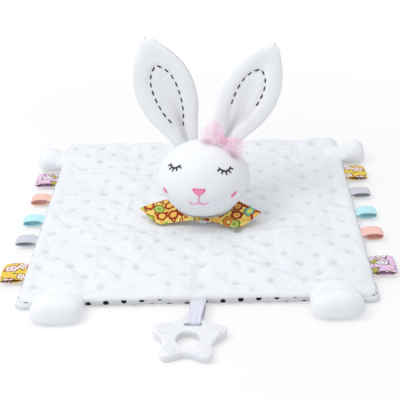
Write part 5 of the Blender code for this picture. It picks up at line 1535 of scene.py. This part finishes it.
def ribbon_line(top, base, tip_top, tip_base):
    """The loop's run, seen from its side: from the seam over the star, down the slot and back below."""
    lay = 0.00095
    drop = SLOT_WIDTH / 2
    apart = 0.000595
    inset = 0.00085
    root = RIBBON_ROOT
    seam = ((inset + 0.003, 0.5), (inset, 0.6), (0.0, 1.0), (-inset, 1.5))
    over = [(root.y + step, root.z + apart * rise) for step, rise in seam]
    under = [(root.y + step, root.z - apart * rise) for step, rise in reversed(seam)]
    return [*over, (tip_top.y + drop * 2, tip_top.z + lay * 0.6), (tip_top.y - drop, tip_top.z + lay),
            ((tip_top.y + top.y) / 2, (tip_top.z + top.z) / 2 + lay), (top.y + drop, top.z + lay),
            (top.y + drop * 0.4, top.z + lay * 0.5), (top.y + drop * 0.1, top.z - lay * 0.5),
            (top.y, (top.z + base.z) / 2), (base.y + drop * 0.1, base.z + lay * 0.5),
            (base.y + drop * 0.4, base.z - lay * 0.5), (base.y + drop, base.z - lay),
            ((tip_base.y + base.y) / 2, (tip_base.z + base.z) / 2 - lay),
            (tip_base.y - drop, tip_base.z - lay), (tip_base.y + drop * 2, tip_base.z - lay * 0.2), *under]


def build_ribbon(look):
    """White satin loop from the front seam, over the star's point, down its slot and back below."""
    matrix = star_matrix()
    spots = ((SLOT_SHIFT, SLOT_ADVANCE, STAR_THICKNESS), (SLOT_SHIFT, SLOT_ADVANCE, 0.0),
             (0.0, STAR_TIP, STAR_THICKNESS), (0.0, STAR_TIP, 0.0))
    top, base, tip_top, tip_base = [matrix @ Vector(spot) for spot in spots]
    line = [(y, z, 0.0) for y, z in ribbon_line(top, base, tip_top, tip_base)]
    root = RIBBON_ROOT
    slot_x = top.x + (SLOT_LENGTH - RIBBON_IN_SLOT - SLOT_WIDTH * 0.6) / 2

    def place(across, along):
        y, z = path_at(line, along)[0].xy
        part = smooth((root.y - y) / (root.y - top.y))
        half = (RIBBON_WIDTH + (RIBBON_IN_SLOT - RIBBON_WIDTH) * part) / 2
        s = 2 * across - 1
        free = smooth((root.y - y) / 0.004) * smooth((y - tip_top.y - 0.002) / 0.006)
        cup = 0.0008 * (1 - s * s) * free * (1 if along < 0.5 else -0.4)
        fold = 0.00035 * math.sin(s * 7 + 1.0) * smooth(part * 2 - 0.6) * (1 if along < 0.45 else 0)
        return Vector((root.x + (slot_x - root.x) * part + s * half, y, z + cup + fold))

    bm = walled(cloth_grid(20, 150, place), RIBBON_CLOTH)
    satin = satin_ribbon("white_ribbon", look.white, RIBBON_WIDTH, 0.08, 0.42)
    ribbon = add_piece("teether_loop", bm, satin, "white_ribbon", None, 50)
    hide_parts("teether_ribbon")
    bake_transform(ribbon)


# The stage
CAMERA_TARGET = Vector((-0.0001, 0.0304, 0.0))
LAMP_TARGET = Vector((0.0, 0.0, 0.03))


def seen_plainly(tree):
    """1 for what the camera sees, in a mirror or through glass as well, and 0 for the light that falls."""
    path = tree.nodes.new("ShaderNodeLightPath").outputs
    return maths(tree, "MAXIMUM", path["Is Camera Ray"],
                 maths(tree, "MAXIMUM", path["Is Glossy Ray"], path["Is Transmission Ray"]))


def build_floor():
    """A white floor that keeps the shadows near the object and fades into the background."""
    floor = bpy.data.materials.new("floor")
    floor.use_nodes = True
    tree = floor.node_tree
    tree.nodes.clear()
    matt = add_node(tree, "ShaderNodeBsdfDiffuse", {"Color": (0.90, 0.90, 0.91, 1.0)})
    glow = add_node(tree, "ShaderNodeEmission", {"Color": (1.0, 1.0, 1.0, 1.0), "Strength": 1.0})
    away = vector_maths(tree, "LENGTH", object_place(tree))
    share = add_node(tree, "ShaderNodeMapRange", {0: away, 1: 0.20, 2: 0.42, 3: 0.55, 4: 1.0}).outputs[0]
    share = maths(tree, "MULTIPLY", seen_plainly(tree), share)
    mix = add_node(tree, "ShaderNodeMixShader", {0: share, 1: matt.outputs[0], 2: glow.outputs[0]})
    add_node(tree, "ShaderNodeOutputMaterial", {0: mix.outputs[0]})
    bm = bmesh.new()
    bmesh.ops.create_grid(bm, x_segments=1, y_segments=1, size=6.0)
    mesh = bpy.data.meshes.new("floor")
    bm.to_mesh(mesh)
    bm.free()
    mesh.materials.append(floor)
    ground = bpy.data.objects.new("floor", mesh)
    ground.location.z = -0.0002
    bpy.context.scene.collection.objects.link(ground)


def build_lights(look):
    """A pale sky that shows as white, a lamp at the upper left and a large one overhead."""
    world = bpy.data.worlds.new("studio")
    bpy.context.scene.world = world
    world.use_nodes = True
    tree = world.node_tree
    sky = tree.nodes["Background"].inputs
    sky["Color"].default_value = (0.98, 0.99, 1.0, 1.0)
    seen = seen_plainly(tree)
    strength = add_node(tree, "ShaderNodeMapRange", {0: seen, 1: 0.0, 2: 1.0, 3: look.sky, 4: 1.0})
    tree.links.new(strength.outputs[0], sky["Strength"])
    for name, place, size, watts in (("key", (-0.60, -0.35, 0.95), 0.6, look.key),
                                     ("top", (0.05, 0.15, 1.20), 1.4, look.top)):
        lamp = bpy.data.lights.new(name, "AREA")
        lamp.shape = "DISK"
        lamp.size = size
        lamp.energy = watts
        lamp_object = bpy.data.objects.new(name, lamp)
        lamp_object.location = place
        lamp_object.rotation_euler = (LAMP_TARGET - Vector(place)).to_track_quat("-Z", "Y").to_euler()
        bpy.context.scene.collection.objects.link(lamp_object)


def build_stage(look):
    """The floor, the lights and the photograph's camera."""
    build_floor()
    build_lights(look)
    back = Vector((math.sin(look.turn) * math.cos(look.pitch), -math.cos(look.turn) * math.cos(look.pitch),
                   math.sin(look.pitch)))
    level = (-back).cross(Z_UP).normalized()
    upright = level.cross(-back)
    right = level * math.cos(look.roll) + upright * math.sin(look.roll)
    up = upright * math.cos(look.roll) - level * math.sin(look.roll)
    camera = bpy.data.cameras.new("camera")
    camera.lens = look.focal
    camera.sensor_width = 36.0
    camera.clip_start = 0.01
    view = bpy.data.objects.new("camera", camera)
    turned = Matrix((right, up, back)).transposed().to_4x4()
    view.matrix_world = Matrix.Translation(CAMERA_TARGET + back * look.distance) @ turned
    bpy.context.scene.collection.objects.link(view)
    bpy.context.scene.camera = view
    bpy.context.scene.view_settings.view_transform = "Standard"


# The operators
class LOVEY_OT_quilt(Operator):
    """Make the quilted square: plush top and dotted cotton back"""
    bl_idname = "lovey.quilt"
    bl_label = "Quilt"

    def execute(self, context):
        build_top(context.scene.lovey_quilt)
        build_back(context.scene.lovey_quilt)
        return {"FINISHED"}


class LOVEY_OT_head(Operator):
    """Make the stuffed head and the gathered neck"""
    bl_idname = "lovey.head"
    bl_label = "Head"

    def execute(self, context):
        build_head(context.scene.lovey_head)
        return {"FINISHED"}


class LOVEY_OT_ears(Operator):
    """Make the two ears and their running stitches"""
    bl_idname = "lovey.ears"
    bl_label = "Ears"

    def execute(self, context):
        build_ears(context.scene.lovey_head)
        return {"FINISHED"}


class LOVEY_OT_face(Operator):
    """Embroider the eyes, nose, mouth and cheeks"""
    bl_idname = "lovey.face"
    bl_label = "Face"

    def execute(self, context):
        build_face(context.scene.lovey_head, bpy.data.materials["black_thread"])
        return {"FINISHED"}


class LOVEY_OT_bow(Operator):
    """Make the net bow and its tack"""
    bl_idname = "lovey.bow"
    bl_label = "Bow"

    def execute(self, context):
        build_bow(context.scene.lovey_bow)
        return {"FINISHED"}


class LOVEY_OT_collar(Operator):
    """Make the floral collar and its tie"""
    bl_idname = "lovey.collar"
    bl_label = "Collar"

    def execute(self, context):
        build_collar(context.scene.lovey_bow)
        return {"FINISHED"}


class LOVEY_OT_paws(Operator):
    """Make the feet and hands"""
    bl_idname = "lovey.paws"
    bl_label = "Paws"

    def execute(self, context):
        build_paws(context.scene.lovey_quilt)
        return {"FINISHED"}


class LOVEY_OT_tags(Operator):
    """Make the ten ribbon tags"""
    bl_idname = "lovey.tags"
    bl_label = "Ribbon tags"

    def execute(self, context):
        build_tags(context.scene.lovey_ribbons)
        return {"FINISHED"}


class LOVEY_OT_teether(Operator):
    """Make the silicone star"""
    bl_idname = "lovey.teether"
    bl_label = "Teether"

    def execute(self, context):
        build_teether(context.scene.lovey_ribbons)
        return {"FINISHED"}


class LOVEY_OT_ribbon(Operator):
    """Make the teether's ribbon"""
    bl_idname = "lovey.ribbon"
    bl_label = "Teether ribbon"

    def execute(self, context):
        build_ribbon(context.scene.lovey_ribbons)
        return {"FINISHED"}


class LOVEY_OT_stage(Operator):
    """Set the floor, the lights and the camera"""
    bl_idname = "lovey.stage"
    bl_label = "Stage"

    def execute(self, context):
        build_stage(context.scene.lovey_stage)
        return {"FINISHED"}


STEPS = (LOVEY_OT_stage, LOVEY_OT_quilt, LOVEY_OT_head, LOVEY_OT_ears, LOVEY_OT_face, LOVEY_OT_bow,
         LOVEY_OT_collar, LOVEY_OT_paws, LOVEY_OT_tags, LOVEY_OT_teether, LOVEY_OT_ribbon)
LOOKS = {"lovey_quilt": QuiltLook, "lovey_head": HeadLook, "lovey_bow": BowLook,
         "lovey_ribbons": RibbonLook, "lovey_stage": StageLook}


class LOVEY_PT_pieces(Panel):
    """The pieces of the lovey, in the order in which they are made"""
    bl_label = "Lovey"
    bl_idname = "LOVEY_PT_pieces"
    bl_space_type = "VIEW_3D"
    bl_region_type = "UI"
    bl_category = "Lovey"

    def draw(self, context):
        for step in STEPS:
            self.layout.operator(step.bl_idname)
        for name, look in LOOKS.items():
            box = self.layout.box()
            box.label(text=look.__doc__)
            for key in look.__annotations__:
                box.prop(getattr(context.scene, name), key)


def register():
    """Make the operators, the panel and the settings known."""
    for group in LOOKS.values():
        bpy.utils.register_class(group)
    for item in (*STEPS, LOVEY_PT_pieces):
        bpy.utils.register_class(item)
    for name, group in LOOKS.items():
        setattr(bpy.types.Scene, name, PointerProperty(type=group))


def unregister():
    """Take back what register made."""
    for name in LOOKS:
        delattr(bpy.types.Scene, name)
    for item in (LOVEY_PT_pieces, *reversed(STEPS)):
        bpy.utils.unregister_class(item)
    for group in LOOKS.values():
        bpy.utils.unregister_class(group)


def main():
    """Dress the frame."""
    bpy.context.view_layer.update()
    register()
    for step in STEPS:
        group, name = step.bl_idname.split(".")
        if getattr(getattr(bpy.ops, group), name)() != {"FINISHED"}:
            raise RuntimeError(step.bl_label + " wasn't made")


if __name__ == "__main__":
    main()
